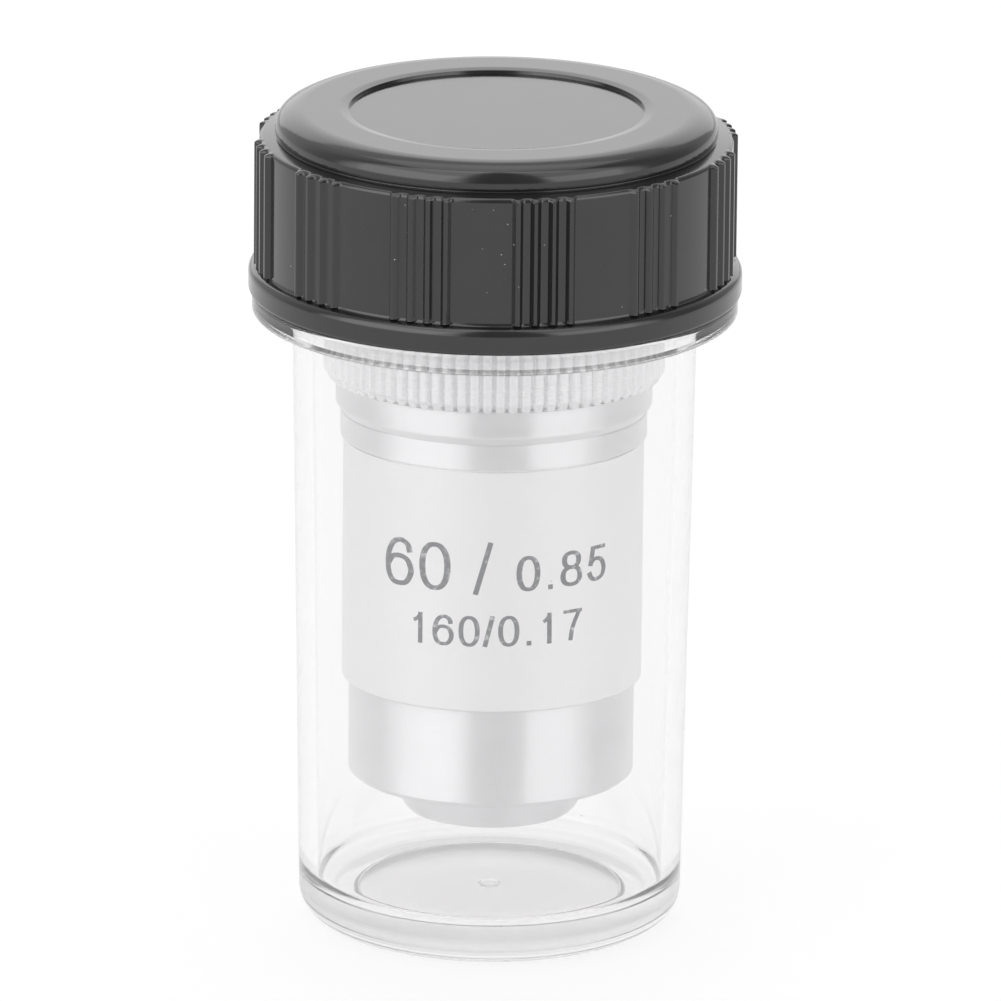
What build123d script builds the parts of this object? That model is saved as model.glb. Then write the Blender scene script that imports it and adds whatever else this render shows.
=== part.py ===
from build123d import *
from math import cos, radians, sin, sqrt, tan
import os

os.makedirs("parts", exist_ok=True)

# Microscope objective with a sprung nose, screwed nose down into the cap of its clear case.
# Millimetres, +Z up. The origin is the centre of the ring that the case stands on.
# The engraved numbers on the sleeve face -Y.

# Clearances
seat_gap = 0.02
screw_fit = 0.02
slide_fit = 0.05
cement_gap = 0.02

# Mounting thread, and the turned body below it
thread_outer_radius = 10.16
thread_depth = 0.44
thread_wall = 0.62
thread_length = 4.5
shoulder_width = 1.14
band_height = 4.8
collar_step = 0.86
collar_height = 7.68
knurl_count = 78
knurl_depth = 0.32
knurl_half_width = 0.24
upper_ring_step = 0.34
upper_ring_height = 1.9
bevel_height = 0.57
lower_ring_step = 0.22
lower_ring_height = 2.01
spigot_length = 4.84
guide_ledge_height = 2.16
guide_ledge_width = 0.85

# Sleeve, and the nose that slides up inside it
sleeve_wall = 0.45
sleeve_length = 17.65
nose_reach = 7.3
nose_chamfer = 0.4
nose_travel = 2.0
stem_wall = 1.48
stop_ring_gap = 0.2
stop_ring_height = 1.4
spring_room = 2.08
spring_length = 8.96
spring_wire = 0.7
spring_turns = 3
guide_screw_radius = 0.78
guide_screw_drop = 2.4
guide_head_gap = 0.08
guide_slot_depth = 0.8
guide_tip_gap = 0.15
screwdriver_slot = 0.3

# Front ring, which also holds the smallest lens
front_height = 2.69
front_overhang = 0.5
front_bevel = 0.7
front_spigot_length = 2.6
front_lip = 0.25
front_lens_radius = 1.7
front_lens_rise = 1.6
front_lens_edge = 0.3
front_lens_recess = 0.5

# Lens tube, the cells stacked in it and their glass
tube_wall = 0.9
cell_lip = 0.5
second_cell_height = 3.5
second_cell_wall = 2.36
second_edge = 0.9
second_rise = 1.3
doublet_cell_height = 5.5
middle_cell_wall = 1.56
rear_cell_wall = 1.06
crown_edge = 1.1
flint_edge = 1.9
cement_rise = 1.2
lock_ring_height = 1.5
lock_ring_width = 1.68
spanner_slot = 1.0
tube_spare = 1.5
diaphragm_width = 2.88
diaphragm_height = 1.0
diaphragm_depth = 0.8

# Clear case
floor_height = 2.7
nose_clearance = 5.5
case_wall = 1.38
case_draft = 0.94
collar_clearance = 1.0
neck_wall = 1.6
neck_clearance = 0.8
flange_height = 1.57
flange_inset = 0.26
foot_round = 2.3
inner_round = 1.4
foot_ring_width = 1.75
foot_recess_depth = 0.9
gate_radius = 0.7
gate_height = 0.2
corner_steps = 2

# Black cap
cap_height = 13.03
neck_thread_gap = 0.75
cap_wall = 1.25
rim_lip = 0.72
rim_height = 1.88
shoulder_bevel = 0.35
corner_height = 1.875
dome_height = 1.91
dome_inset = 1.1
dome_round = 1.35
top_wall = 1.2
top_recess_radius = 10.38
top_recess_depth = 0.45
boss_gap = 0.35
hole_end_gap = 0.05
grip_groups = 12
grip_ridges = 4
grip_ridge_step = 4.3
grip_first_angle = -78.3
grip_ridge_height = 0.36
grip_ridge_half_width = 0.36
grip_ridge_top_half = 0.16

# Heights of the objective, counted up from the floor of the case
nose_face_z = floor_height + nose_clearance
nose_bottom_z = nose_face_z + front_height
sleeve_bottom_z = nose_bottom_z + nose_reach
sleeve_top_z = sleeve_bottom_z + sleeve_length
lower_ring_top_z = sleeve_top_z + lower_ring_height
bevel_top_z = lower_ring_top_z + bevel_height
collar_bottom_z = bevel_top_z + upper_ring_height
collar_top_z = collar_bottom_z + collar_height
shoulder_z = collar_top_z + band_height
thread_top_z = shoulder_z + thread_length
spigot_bottom_z = sleeve_top_z - spigot_length
guide_ledge_z = sleeve_top_z + guide_ledge_height
nose_top_z = spigot_bottom_z - spring_length - 2 * seat_gap
stop_ring_z = guide_ledge_z + seat_gap
stem_top_z = stop_ring_z + stop_ring_height
guide_screw_z = sleeve_top_z - guide_screw_drop

# Heights of the cap and the case, counted from the thread that they hold
hole_end_z = thread_top_z + hole_end_gap
cap_recess_z = hole_end_z + top_wall
cap_top_z = cap_recess_z + top_recess_depth
rim_bottom_z = cap_top_z - cap_height
rim_top_z = rim_bottom_z + rim_height
cap_shoulder_z = cap_top_z - dome_height
cap_corner_z = cap_shoulder_z - corner_height
flange_bottom_z = rim_bottom_z - flange_height
neck_top_z = cap_corner_z - neck_clearance

# Radii of the objective, worked inwards from its thread to the lenses and then out to its collar
thread_core_radius = thread_outer_radius - thread_depth
rear_bore_radius = thread_core_radius - thread_wall
stop_ring_radius = rear_bore_radius - stop_ring_gap
guide_bore_radius = stop_ring_radius - guide_ledge_width
stem_radius = guide_bore_radius - slide_fit
tube_bore_radius = stem_radius - stem_wall
lens_tube_radius = tube_bore_radius - screw_fit
cell_bore_radius = lens_tube_radius - tube_wall
cell_radius = cell_bore_radius - screw_fit
second_lens_radius = cell_radius - second_cell_wall - screw_fit
middle_lens_radius = cell_radius - middle_cell_wall - screw_fit
rear_lens_radius = cell_radius - rear_cell_wall - screw_fit
front_base_radius = lens_tube_radius + front_overhang
front_face_radius = front_base_radius - front_bevel
nose_radius = stem_radius + spring_room
sleeve_bore_radius = nose_radius + slide_fit
spigot_radius = sleeve_bore_radius - screw_fit
sleeve_radius = sleeve_bore_radius + sleeve_wall
lower_ring_radius = sleeve_radius + lower_ring_step
upper_ring_radius = lower_ring_radius + upper_ring_step
collar_radius = upper_ring_radius + collar_step
band_radius = thread_outer_radius + shoulder_width

# Radii of the case and the cap, worked outwards from the collar that they clear
rim_bore_radius = collar_radius + collar_clearance
neck_radius = rim_bore_radius + neck_wall
skirt_bore_radius = neck_radius + neck_thread_gap
panel_radius = skirt_bore_radius + cap_wall
rim_radius = panel_radius + rim_lip
dome_radius = panel_radius - dome_inset
flange_radius = rim_radius - flange_inset
socket_radius = thread_outer_radius + slide_fit
boss_radius = rim_bore_radius - boss_gap
ceiling_radius = neck_radius - neck_thread_gap
case_slope = tan(radians(case_draft))


def case_bore(height):
    # Inner radius of the moulded case, which widens a little towards its mouth
    return rim_bore_radius - case_slope * (neck_top_z - height)


def rounded_corner(centre_radius, centre_z, size, first, last):
    # Short flats along a quarter round of an outline, from one angle to the other in degrees
    turns = [radians(first + (last - first) * step / corner_steps) for step in range(corner_steps + 1)]
    return [(centre_radius + size * cos(turn), centre_z + size * sin(turn)) for turn in turns]


def arc_middle(radius, rise, edge_z):
    # Point halfway out on a lens surface whose centre stands above its edge
    sphere = (radius**2 + rise**2) / (2 * rise)
    return (radius / 2, edge_z + rise - sphere + sqrt(sphere**2 - (radius / 2) ** 2))


# Clear case: tapered wall, stepped neck, flange and hollow foot
foot_radius = case_bore(0) + case_wall
foot_recess_radius = foot_radius - foot_round - foot_ring_width
inner_corner_radius = case_bore(floor_height + inner_round) - inner_round
case_outline = [
    (0, foot_recess_depth),
    (foot_recess_radius, foot_recess_depth),
    (foot_recess_radius, 0),
    *rounded_corner(foot_radius - foot_round, foot_round, foot_round, -90, 0),
    (case_bore(flange_bottom_z) + case_wall, flange_bottom_z),
    (flange_radius, flange_bottom_z),
    (flange_radius, rim_bottom_z),
    (neck_radius, rim_bottom_z),
    (neck_radius, neck_top_z),
    (rim_bore_radius, neck_top_z),
    *rounded_corner(inner_corner_radius, floor_height + inner_round, inner_round, 0, -90),
    (0, floor_height),
]
with BuildPart() as case_vial:
    with BuildSketch(Plane.XZ):
        with BuildLine():
            Polyline(*case_outline, close=True)
        make_face()
    revolve(axis=Axis.Z)
    with BuildSketch(Plane.XY.offset(foot_recess_depth - gate_height)):
        Circle(gate_radius)
    extrude(amount=gate_height)
case_vial.part.label = "case_vial"
export_step(case_vial.part, "parts/case_vial.step")

# Black cap: skirt, rim, stepped dome with a dished top, and the boss that holds the objective
cap_outline = [
    (skirt_bore_radius, rim_bottom_z),
    (rim_radius, rim_bottom_z),
    (rim_radius, rim_top_z),
    (panel_radius, rim_top_z),
    (panel_radius, cap_shoulder_z - shoulder_bevel),
    (panel_radius - shoulder_bevel, cap_shoulder_z),
    (dome_radius, cap_shoulder_z),
    *rounded_corner(dome_radius - dome_round, cap_top_z - dome_round, dome_round, 0, 90),
    (top_recess_radius, cap_top_z),
    (top_recess_radius, cap_recess_z),
    (0, cap_recess_z),
    (0, hole_end_z),
    (socket_radius, hole_end_z),
    (socket_radius, shoulder_z),
    (boss_radius, shoulder_z),
    (boss_radius, cap_shoulder_z),
    (ceiling_radius, cap_shoulder_z),
    (skirt_bore_radius, cap_corner_z),
]
with BuildPart() as case_cap:
    with BuildSketch(Plane.XZ):
        with BuildLine():
            Polyline(*cap_outline, close=True)
        make_face()
    revolve(axis=Axis.Z)
    # Grip ridges stand on the panel in groups, and their tops are bevelled as the panel is
    with BuildSketch(Plane.XY.offset(rim_top_z)):
        for ridge in range(grip_ridges):
            lean = (ridge - (grip_ridges - 1) / 2) * grip_ridge_step
            with PolarLocations(panel_radius, grip_groups, start_angle=grip_first_angle + lean):
                Polygon(
                    (-grip_ridge_height, -grip_ridge_half_width),
                    (0, -grip_ridge_half_width),
                    (grip_ridge_height, -grip_ridge_top_half),
                    (grip_ridge_height, grip_ridge_top_half),
                    (0, grip_ridge_half_width),
                    (-grip_ridge_height, grip_ridge_half_width),
                    align=None,
                )
    extrude(amount=cap_shoulder_z - shoulder_bevel - rim_top_z)
case_cap.part.label = "case_cap"
export_step(case_cap.part, "parts/case_cap.step")

# Turned body: mounting thread blank, shoulder, knurled collar, two polished rings and the spigot
body_outline = [
    (rear_bore_radius, thread_top_z),
    (thread_core_radius, thread_top_z),
    (thread_core_radius, shoulder_z),
    (band_radius, shoulder_z),
    (band_radius, collar_top_z),
    (collar_radius, collar_top_z),
    (collar_radius, collar_bottom_z),
    (upper_ring_radius, collar_bottom_z),
    (upper_ring_radius, bevel_top_z),
    (lower_ring_radius, lower_ring_top_z),
    (lower_ring_radius, sleeve_top_z),
    (spigot_radius, sleeve_top_z),
    (spigot_radius, spigot_bottom_z),
    (guide_bore_radius, spigot_bottom_z),
    (guide_bore_radius, guide_ledge_z),
    (rear_bore_radius, guide_ledge_z),
]
with BuildPart() as mount_body:
    with BuildSketch(Plane.XZ):
        with BuildLine():
            Polyline(*body_outline, close=True)
        make_face()
    revolve(axis=Axis.Z)
    # Straight knurl: one V groove per tooth, drawn as far out of the collar as it goes in
    with BuildSketch(Plane.XY.offset(collar_bottom_z)):
        with PolarLocations(collar_radius, knurl_count):
            Polygon(
                (-knurl_depth, 0),
                (knurl_depth, -2 * knurl_half_width),
                (knurl_depth, 2 * knurl_half_width),
                align=None,
            )
    extrude(amount=collar_height, mode=Mode.SUBTRACT)
    # Cross hole for the guide screw
    with BuildSketch(Plane.XZ.offset(-lower_ring_radius)):
        with Locations((0, guide_screw_z)):
            Circle(guide_screw_radius + screw_fit)
    extrude(amount=lower_ring_radius - stem_radius, mode=Mode.SUBTRACT)
mount_body.part.label = "mount_body"
export_step(mount_body.part, "parts/mount_body.step")

# Satin sleeve, screwed over the spigot up to the lower polished ring
with BuildPart() as outer_sleeve:
    with BuildSketch(Plane.XY.offset(sleeve_bottom_z)):
        Circle(sleeve_radius)
        Circle(sleeve_bore_radius, mode=Mode.SUBTRACT)
    extrude(amount=sleeve_length)
outer_sleeve.part.label = "outer_sleeve"
export_step(outer_sleeve.part, "parts/outer_sleeve.step")

# Nose barrel: the polished lower barrel and the guide stem above it, in one turned piece
nose_outline = [
    (tube_bore_radius, nose_bottom_z),
    (nose_radius - nose_chamfer, nose_bottom_z),
    (nose_radius, nose_bottom_z + nose_chamfer),
    (nose_radius, nose_top_z),
    (stem_radius, nose_top_z),
    (stem_radius, stem_top_z),
    (tube_bore_radius, stem_top_z),
]
slot_width = 2 * (guide_screw_radius + slide_fit)
with BuildPart() as nose_barrel:
    with BuildSketch(Plane.XZ):
        with BuildLine():
            Polyline(*nose_outline, close=True)
        make_face()
    revolve(axis=Axis.Z)
    # Slot that the guide screw runs in while the nose moves up
    with BuildSketch(Plane.XZ.offset(-lower_ring_radius)):
        with Locations((0, guide_screw_z - nose_travel / 2)):
            SlotCenterToCenter(nose_travel + 2 * slide_fit, slot_width, rotation=90)
    extrude(amount=lower_ring_radius - stem_radius + guide_slot_depth, mode=Mode.SUBTRACT)
nose_barrel.part.label = "nose_barrel"
export_step(nose_barrel.part, "parts/nose_barrel.step")

# Guide screw in the spigot, with its tip in the slot of the stem
guide_tip_radius = stem_radius - guide_slot_depth + guide_tip_gap
guide_head_radius = sleeve_bore_radius - guide_head_gap
with BuildPart() as guide_screw:
    with BuildSketch(Plane.XZ.offset(-guide_head_radius)):
        with Locations((0, guide_screw_z)):
            Circle(guide_screw_radius)
    extrude(amount=guide_head_radius - guide_tip_radius)
    with BuildSketch(Plane.XZ.offset(-guide_head_radius)):
        with Locations((0, guide_screw_z)):
            Rectangle(2 * guide_screw_radius, screwdriver_slot)
    extrude(amount=screwdriver_slot, mode=Mode.SUBTRACT)
guide_screw.part.label = "guide_screw"
export_step(guide_screw.part, "parts/guide_screw.step")

# Compression spring round the stem, with ground ends
spring_mean_radius = (stem_radius + sleeve_bore_radius) / 2
spring_bottom_z = nose_top_z + seat_gap
spring_pitch = spring_length / spring_turns
coil_start_z = spring_bottom_z - spring_pitch / 4
coil_height = spring_length + spring_pitch / 2
with BuildPart() as spring:
    with BuildLine():
        coil = Helix(spring_pitch, coil_height, spring_mean_radius, center=(0, 0, coil_start_z))
    with BuildSketch(Plane(origin=coil @ 0, z_dir=coil % 0, x_dir=(1, 0, 0))):
        Rectangle(spring_wire, spring_wire)
    sweep(path=coil, is_frenet=True)
    with BuildSketch(Plane.XY.offset(spring_bottom_z)):
        Circle(spring_mean_radius + spring_wire)
        Circle(spring_mean_radius - spring_wire, mode=Mode.SUBTRACT)
    extrude(amount=spring_length, mode=Mode.INTERSECT)
spring.part.label = "spring"
export_step(spring.part, "parts/spring.step")

# Stop ring, screwed on the top of the stem, which rests on the guide ledge
with BuildPart() as stop_ring:
    with BuildSketch(Plane.XY.offset(stop_ring_z)):
        Circle(stop_ring_radius)
        Circle(stem_radius + screw_fit, mode=Mode.SUBTRACT)
    extrude(amount=stop_ring_height)
stop_ring.part.label = "stop_ring"
export_step(stop_ring.part, "parts/stop_ring.step")

# Blackened diaphragm ring in the rear bore
diaphragm_z = thread_top_z - diaphragm_depth - diaphragm_height
with BuildPart() as rear_diaphragm:
    with BuildSketch(Plane.XY.offset(diaphragm_z)):
        Circle(rear_bore_radius - screw_fit)
        Circle(rear_bore_radius - diaphragm_width, mode=Mode.SUBTRACT)
    extrude(amount=diaphragm_height)
    with BuildSketch(Plane.XY.offset(diaphragm_z + diaphragm_height)):
        Rectangle(2 * rear_bore_radius, spanner_slot)
    extrude(amount=-diaphragm_height / 2, mode=Mode.SUBTRACT)
rear_diaphragm.part.label = "rear_diaphragm"
export_step(rear_diaphragm.part, "parts/rear_diaphragm.step")

# Heights of the lens stack
front_spigot_z = nose_bottom_z + front_spigot_length
middle_cell_z = front_spigot_z + second_cell_height
rear_cell_z = middle_cell_z + doublet_cell_height
lock_ring_z = rear_cell_z + doublet_cell_height
lens_tube_top_z = lock_ring_z + lock_ring_height + tube_spare

# Lens tube, screwed into the nose barrel, with the cells stacked in its bore
with BuildPart() as lens_tube:
    with BuildSketch(Plane.XY.offset(nose_bottom_z)):
        Circle(lens_tube_radius)
        Circle(cell_bore_radius, mode=Mode.SUBTRACT)
    extrude(amount=lens_tube_top_z - nose_bottom_z)
lens_tube.part.label = "lens_tube"
export_step(lens_tube.part, "parts/lens_tube.step")

# Front ring: the bevelled tip of the nose, with the seat of the front lens
front_seat_z = nose_face_z + front_lens_recess
front_bore_radius = front_lens_radius + screw_fit
front_hole_radius = front_lens_radius - front_lip
front_step_z = front_seat_z + front_lens_rise
front_outline = [
    (front_hole_radius, nose_face_z),
    (front_face_radius, nose_face_z),
    (front_base_radius, nose_bottom_z - front_height / 4),
    (front_base_radius, nose_bottom_z),
    (cell_radius, nose_bottom_z),
    (cell_radius, front_spigot_z),
    (second_lens_radius, front_spigot_z),
    (second_lens_radius, front_step_z),
    (front_bore_radius, front_step_z),
    (front_bore_radius, front_seat_z),
    (front_hole_radius, front_seat_z),
]
with BuildPart() as front_lens_cell:
    with BuildSketch(Plane.XZ):
        with BuildLine():
            Polyline(*front_outline, close=True)
        make_face()
    revolve(axis=Axis.Z)
front_lens_cell.part.label = "front_lens_cell"
export_step(front_lens_cell.part, "parts/front_lens_cell.step")

# Front lens: a thick flat-faced bead of glass, domed on its upper side
front_lens_z = front_seat_z + seat_gap
front_edge_z = front_lens_z + front_lens_edge
with BuildPart() as front_lens:
    with BuildSketch(Plane.XZ):
        with BuildLine():
            Polyline(
                (0, front_edge_z + front_lens_rise),
                (0, front_lens_z),
                (front_lens_radius, front_lens_z),
                (front_lens_radius, front_edge_z),
            )
            ThreePointArc(
                (front_lens_radius, front_edge_z),
                arc_middle(front_lens_radius, front_lens_rise, front_edge_z),
                (0, front_edge_z + front_lens_rise),
            )
        make_face()
    revolve(axis=Axis.Z)
front_lens.part.label = "front_lens"
export_step(front_lens.part, "parts/front_lens.step")


def write_cell(label, base_z, height, glass_radius):
    # Cell with a bore for its glass and a lip under it
    with BuildPart() as cell:
        with BuildSketch(Plane.XY.offset(base_z)):
            Circle(cell_radius)
            Circle(glass_radius - cell_lip, mode=Mode.SUBTRACT)
        extrude(amount=height)
        with BuildSketch(Plane.XY.offset(base_z + cell_lip)):
            Circle(glass_radius + screw_fit)
        extrude(amount=height - cell_lip, mode=Mode.SUBTRACT)
    cell.part.label = label
    export_step(cell.part, f"parts/{label}.step")


def write_lens(label, radius, low_edge_z, low_rise, high_edge_z, high_rise):
    # Lens turned about the axis, whose faces stand higher at their centres by the rises, or are flat
    low_edge = (radius, low_edge_z)
    high_edge = (radius, high_edge_z)
    low_centre = (0, low_edge_z + low_rise)
    high_centre = (0, high_edge_z + high_rise)
    with BuildPart() as lens:
        with BuildSketch(Plane.XZ):
            with BuildLine():
                if low_rise:
                    ThreePointArc(low_centre, arc_middle(radius, low_rise, low_edge_z), low_edge)
                else:
                    Line(low_centre, low_edge)
                Line(low_edge, high_edge)
                if high_rise:
                    ThreePointArc(high_edge, arc_middle(radius, high_rise, high_edge_z), high_centre)
                else:
                    Line(high_edge, high_centre)
                Line(high_centre, low_centre)
            make_face()
        revolve(axis=Axis.Z)
    lens.part.label = label
    export_step(lens.part, f"parts/{label}.step")


# Second lens, flat side down, which takes the steep light from the front lens
second_lens_z = front_spigot_z + cell_lip + seat_gap
write_cell("second_cell", front_spigot_z, second_cell_height, second_lens_radius)
write_lens("second_lens", second_lens_radius, second_lens_z, 0, second_lens_z + second_edge, second_rise)

# Two cemented doublets: a crown lens domed on its upper side, and a flint lens that cups it
doublets = [
    ("middle", middle_cell_z, middle_lens_radius),
    ("rear", rear_cell_z, rear_lens_radius),
]
for place, cell_z, glass_radius in doublets:
    crown_z = cell_z + cell_lip + seat_gap
    crown_top_z = crown_z + crown_edge
    flint_z = crown_top_z + cement_gap
    write_cell(f"{place}_cell", cell_z, doublet_cell_height, glass_radius)
    write_lens(f"{place}_crown_lens", glass_radius, crown_z, 0, crown_top_z, cement_rise)
    write_lens(f"{place}_flint_lens", glass_radius, flint_z, cement_rise, flint_z + flint_edge, 0)

# Lock ring that clamps the stack, with two spanner notches
with BuildPart() as lens_lock_ring:
    with BuildSketch(Plane.XY.offset(lock_ring_z)):
        Circle(cell_radius)
        Circle(cell_radius - lock_ring_width, mode=Mode.SUBTRACT)
    extrude(amount=lock_ring_height)
    with BuildSketch(Plane.XY.offset(lock_ring_z + lock_ring_height)):
        Rectangle(2 * cell_radius, spanner_slot)
    extrude(amount=-lock_ring_height / 2, mode=Mode.SUBTRACT)
lens_lock_ring.part.label = "lens_lock_ring"
export_step(lens_lock_ring.part, "parts/lens_lock_ring.step")
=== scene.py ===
import logging
import math
from collections.abc import Mapping
from dataclasses import dataclass, field, replace
from enum import Enum

import bmesh
import bpy
from mathutils import Matrix, Vector
from mathutils.geometry import delaunay_2d_cdt


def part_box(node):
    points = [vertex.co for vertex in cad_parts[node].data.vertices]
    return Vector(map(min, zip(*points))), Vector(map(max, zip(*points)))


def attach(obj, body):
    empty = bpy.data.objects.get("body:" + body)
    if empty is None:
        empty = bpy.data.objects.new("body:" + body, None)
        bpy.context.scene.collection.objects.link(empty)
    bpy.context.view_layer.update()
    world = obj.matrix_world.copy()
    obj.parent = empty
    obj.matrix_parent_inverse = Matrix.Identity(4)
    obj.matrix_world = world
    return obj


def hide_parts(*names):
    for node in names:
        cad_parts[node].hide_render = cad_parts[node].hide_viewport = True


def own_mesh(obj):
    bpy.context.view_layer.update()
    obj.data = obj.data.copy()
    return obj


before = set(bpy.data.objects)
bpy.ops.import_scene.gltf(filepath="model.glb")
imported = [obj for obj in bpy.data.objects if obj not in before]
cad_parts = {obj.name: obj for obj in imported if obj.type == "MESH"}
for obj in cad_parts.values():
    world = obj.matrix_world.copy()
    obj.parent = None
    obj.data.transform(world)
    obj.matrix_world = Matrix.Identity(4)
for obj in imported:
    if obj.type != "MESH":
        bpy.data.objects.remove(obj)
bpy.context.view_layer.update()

LOG = logging.getLogger("objective")
MM = 0.001
AXIS_TOUCH = 1e-6
MERGE_DISTANCE = 1e-8
CREASE = math.radians(38.0)

# In millimetres: where flat strokes meet, a pattern's margin on its surface, the spacing of a coarse
# thread's rows and the length of the mounting thread.
FLAT_MERGE = 1e-5
TOUCH = 0.1
THREAD_ROWS = 0.12
MOUNTING_LENGTH = 4.5

NOISE_LOW, NOISE_HIGH = 0.3, 0.7
WHITE = (1.0, 1.0, 1.0)
MOVE_INPUTS = ("Height", "Low", "High", "End", "Least Radius", "Greatest Radius")

Point = tuple[float, float]
Colour = tuple[float, float, float]
Socket = bpy.types.NodeSocket
Sockets = Mapping[str, Socket]
Piece = bpy.types.Object


class Body(Enum):
    """The bodies that a piece can ride on."""

    CASE = "vial"
    OBJECTIVE = "objective"
    CAP = "cap"
    NOSE = "nose"


class Slot(Enum):
    """The material slots that a new piece can take its finish from."""

    CLEAR = "clear_plastic"
    BLACK = "black_plastic"
    POLISHED = "polished_metal"
    SATIN = "satin_metal"
    BLACKENED = "black_metal"
    STEEL = "spring_steel"


class Graph:
    """Adds nodes and links to one node tree."""

    def __init__(self, tree: bpy.types.NodeTree) -> None:
        """Keeps the shader or geometry tree to fill."""
        self.tree = tree

    def add(self, kind: str, **settings: object) -> bpy.types.Node:
        """Adds a node.

        Args:
            kind: the node's type name.
            settings: attributes to set on it.

        Returns:
            The new node.
        """
        node = self.tree.nodes.new(kind)
        for name, value in settings.items():
            setattr(node, name, value)
        return node

    def feed(self, socket: Socket, value: object) -> None:
        """Links a socket, or sets it where the value is a plain one.

        Args:
            socket: the input to feed.
            value: another node's output, or a constant.
        """
        if isinstance(value, Socket):
            self.tree.links.new(value, socket)
        else:
            socket.default_value = value

    def node(self, kind: str, inputs: dict[str, object], **settings: object) -> bpy.types.Node:
        """Adds a node and feeds its inputs by name.

        Args:
            kind: the node's type name.
            inputs: what each named input takes.
            settings: attributes to set on it.

        Returns:
            The new node.
        """
        node = self.add(kind, **settings)
        for name, value in inputs.items():
            self.feed(node.inputs[name], value)
        return node

    def listed(self, kind: str, values: tuple[object, ...], **settings: object) -> Socket:
        """Adds a node and feeds its inputs in order.

        Args:
            kind: the node's type name.
            values: what its inputs take.
            settings: attributes to set on it.

        Returns:
            Its first output.
        """
        node = self.add(kind, **settings)
        for socket, value in zip(node.inputs, values):
            self.feed(socket, value)
        return node.outputs[0]

    def maths(self, operation: str, *values: object) -> Socket:
        """Returns the result of a Math node's operation on some values."""
        return self.listed("ShaderNodeMath", values, operation=operation)

    def ramp(
        self, value: object, low: object, high: object, first: object, last: object, smooth: bool = True
    ) -> Socket:
        """Maps a value from one range to another, held at both ends.

        Args:
            value: what is mapped.
            low: where the range starts.
            high: where the range ends.
            first: the result at low.
            last: the result at high.
            smooth: eases the two ends.

        Returns:
            The mapped value.
        """
        kind = "SMOOTHSTEP" if smooth else "LINEAR"
        return self.listed("ShaderNodeMapRange", (value, low, high, first, last), interpolation_type=kind)

    def mixed(self, share: object, first: object, second: object) -> Socket:
        """Returns the first value where the share is 0, and the second where it is 1."""
        return self.ramp(share, 0.0, 1.0, first, second, smooth=False)

    def blend(self, share: object, first: Socket, second: Socket) -> Socket:
        """Returns the first shader where the share is 0, and the second where it is 1."""
        return self.listed("ShaderNodeMixShader", (share, first, second))

    def split(self, place: Socket) -> tuple[Socket, ...]:
        """Returns the x, y and z of a place."""
        return tuple(self.node("ShaderNodeSeparateXYZ", {"Vector": place}).outputs)

    def joined(self, *sides: object) -> Socket:
        """Returns the place with some x, y and z."""
        return self.listed("ShaderNodeCombineXYZ", sides)

    def distance(self, x: Socket, y: Socket) -> Socket:
        """Returns the distance from the optical axis."""
        squares = (self.maths("MULTIPLY", side, side) for side in (x, y))
        return self.maths("SQRT", self.maths("ADD", *squares))

    def seen(self) -> Socket:
        """Finds the rays that show a surface to the eye.

        Returns:
            1 for camera, glossy and transmission rays, otherwise 0.
        """
        path = self.add("ShaderNodeLightPath").outputs
        seen = self.maths("MAXIMUM", path["Is Camera Ray"], path["Is Glossy Ray"])
        return self.maths("MAXIMUM", seen, path["Is Transmission Ray"])


def opaque(colour: Colour) -> tuple[float, ...]:
    """Returns a colour with full cover, as a colour socket takes it."""
    return (*colour, 1.0)


@dataclass(frozen=True)
class Finish:
    """The base of every finish: a material made of nodes on Object coordinates."""

    name: str

    def make(self) -> bpy.types.Material:
        """Builds the material, or returns the one that is there.

        Returns:
            The material.
        """
        known = bpy.data.materials.get(self.name)
        if known:
            return known
        material = bpy.data.materials.new(self.name)
        material.use_nodes = True
        material.node_tree.nodes.clear()
        graph = Graph(material.node_tree)
        output = graph.add("ShaderNodeOutputMaterial")
        graph.feed(output.inputs["Surface"], self.shade(graph))
        return material

    def shade(self, graph: Graph) -> Socket:
        """Builds the shader.

        Args:
            graph: the material's node tree.

        Returns:
            The shader's output.
        """
        raise NotImplementedError

    @staticmethod
    def noise(graph: Graph, scale: float, stretch: Point = (1.0, 1.0), detail: float = 3.0) -> Socket:
        """Adds noise on Object coordinates.

        Args:
            graph: the material's node tree.
            scale: cells for each metre.
            stretch: factors across and along the optical axis.
            detail: octaves of the noise.

        Returns:
            The noise, about 0.5 in the mean.
        """
        place = graph.add("ShaderNodeTexCoord").outputs["Object"]
        across, along = stretch
        mapping = graph.node("ShaderNodeMapping", {"Vector": place, "Scale": (across, across, along)})
        texture = {"Vector": mapping.outputs[0], "Scale": scale, "Detail": detail}
        return graph.node("ShaderNodeTexNoise", texture).outputs["Fac"]

    @staticmethod
    def bump(graph: Graph, height: Socket, strength: float, distance: float) -> Socket:
        """Bends the normal by a height from 0 to 1.

        Args:
            graph: the material's node tree.
            height: the height.
            strength: how strongly it shows.
            distance: its real size in metres.

        Returns:
            The bent normal.
        """
        inputs = {"Strength": strength, "Distance": distance, "Height": height}
        return graph.node("ShaderNodeBump", inputs).outputs[0]

    @staticmethod
    def tone(graph: Graph, value: Socket, dark: Colour, light: Colour) -> Socket:
        """Blends two colours.

        Args:
            graph: the material's node tree.
            value: 0 for the dark colour and 1 for the light one.
            dark: the first colour.
            light: the second colour.

        Returns:
            The blended colour.
        """
        inputs = {"Factor": value, "A": opaque(dark), "B": opaque(light)}
        return graph.node("ShaderNodeMix", inputs, data_type="RGBA").outputs["Result"]


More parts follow.
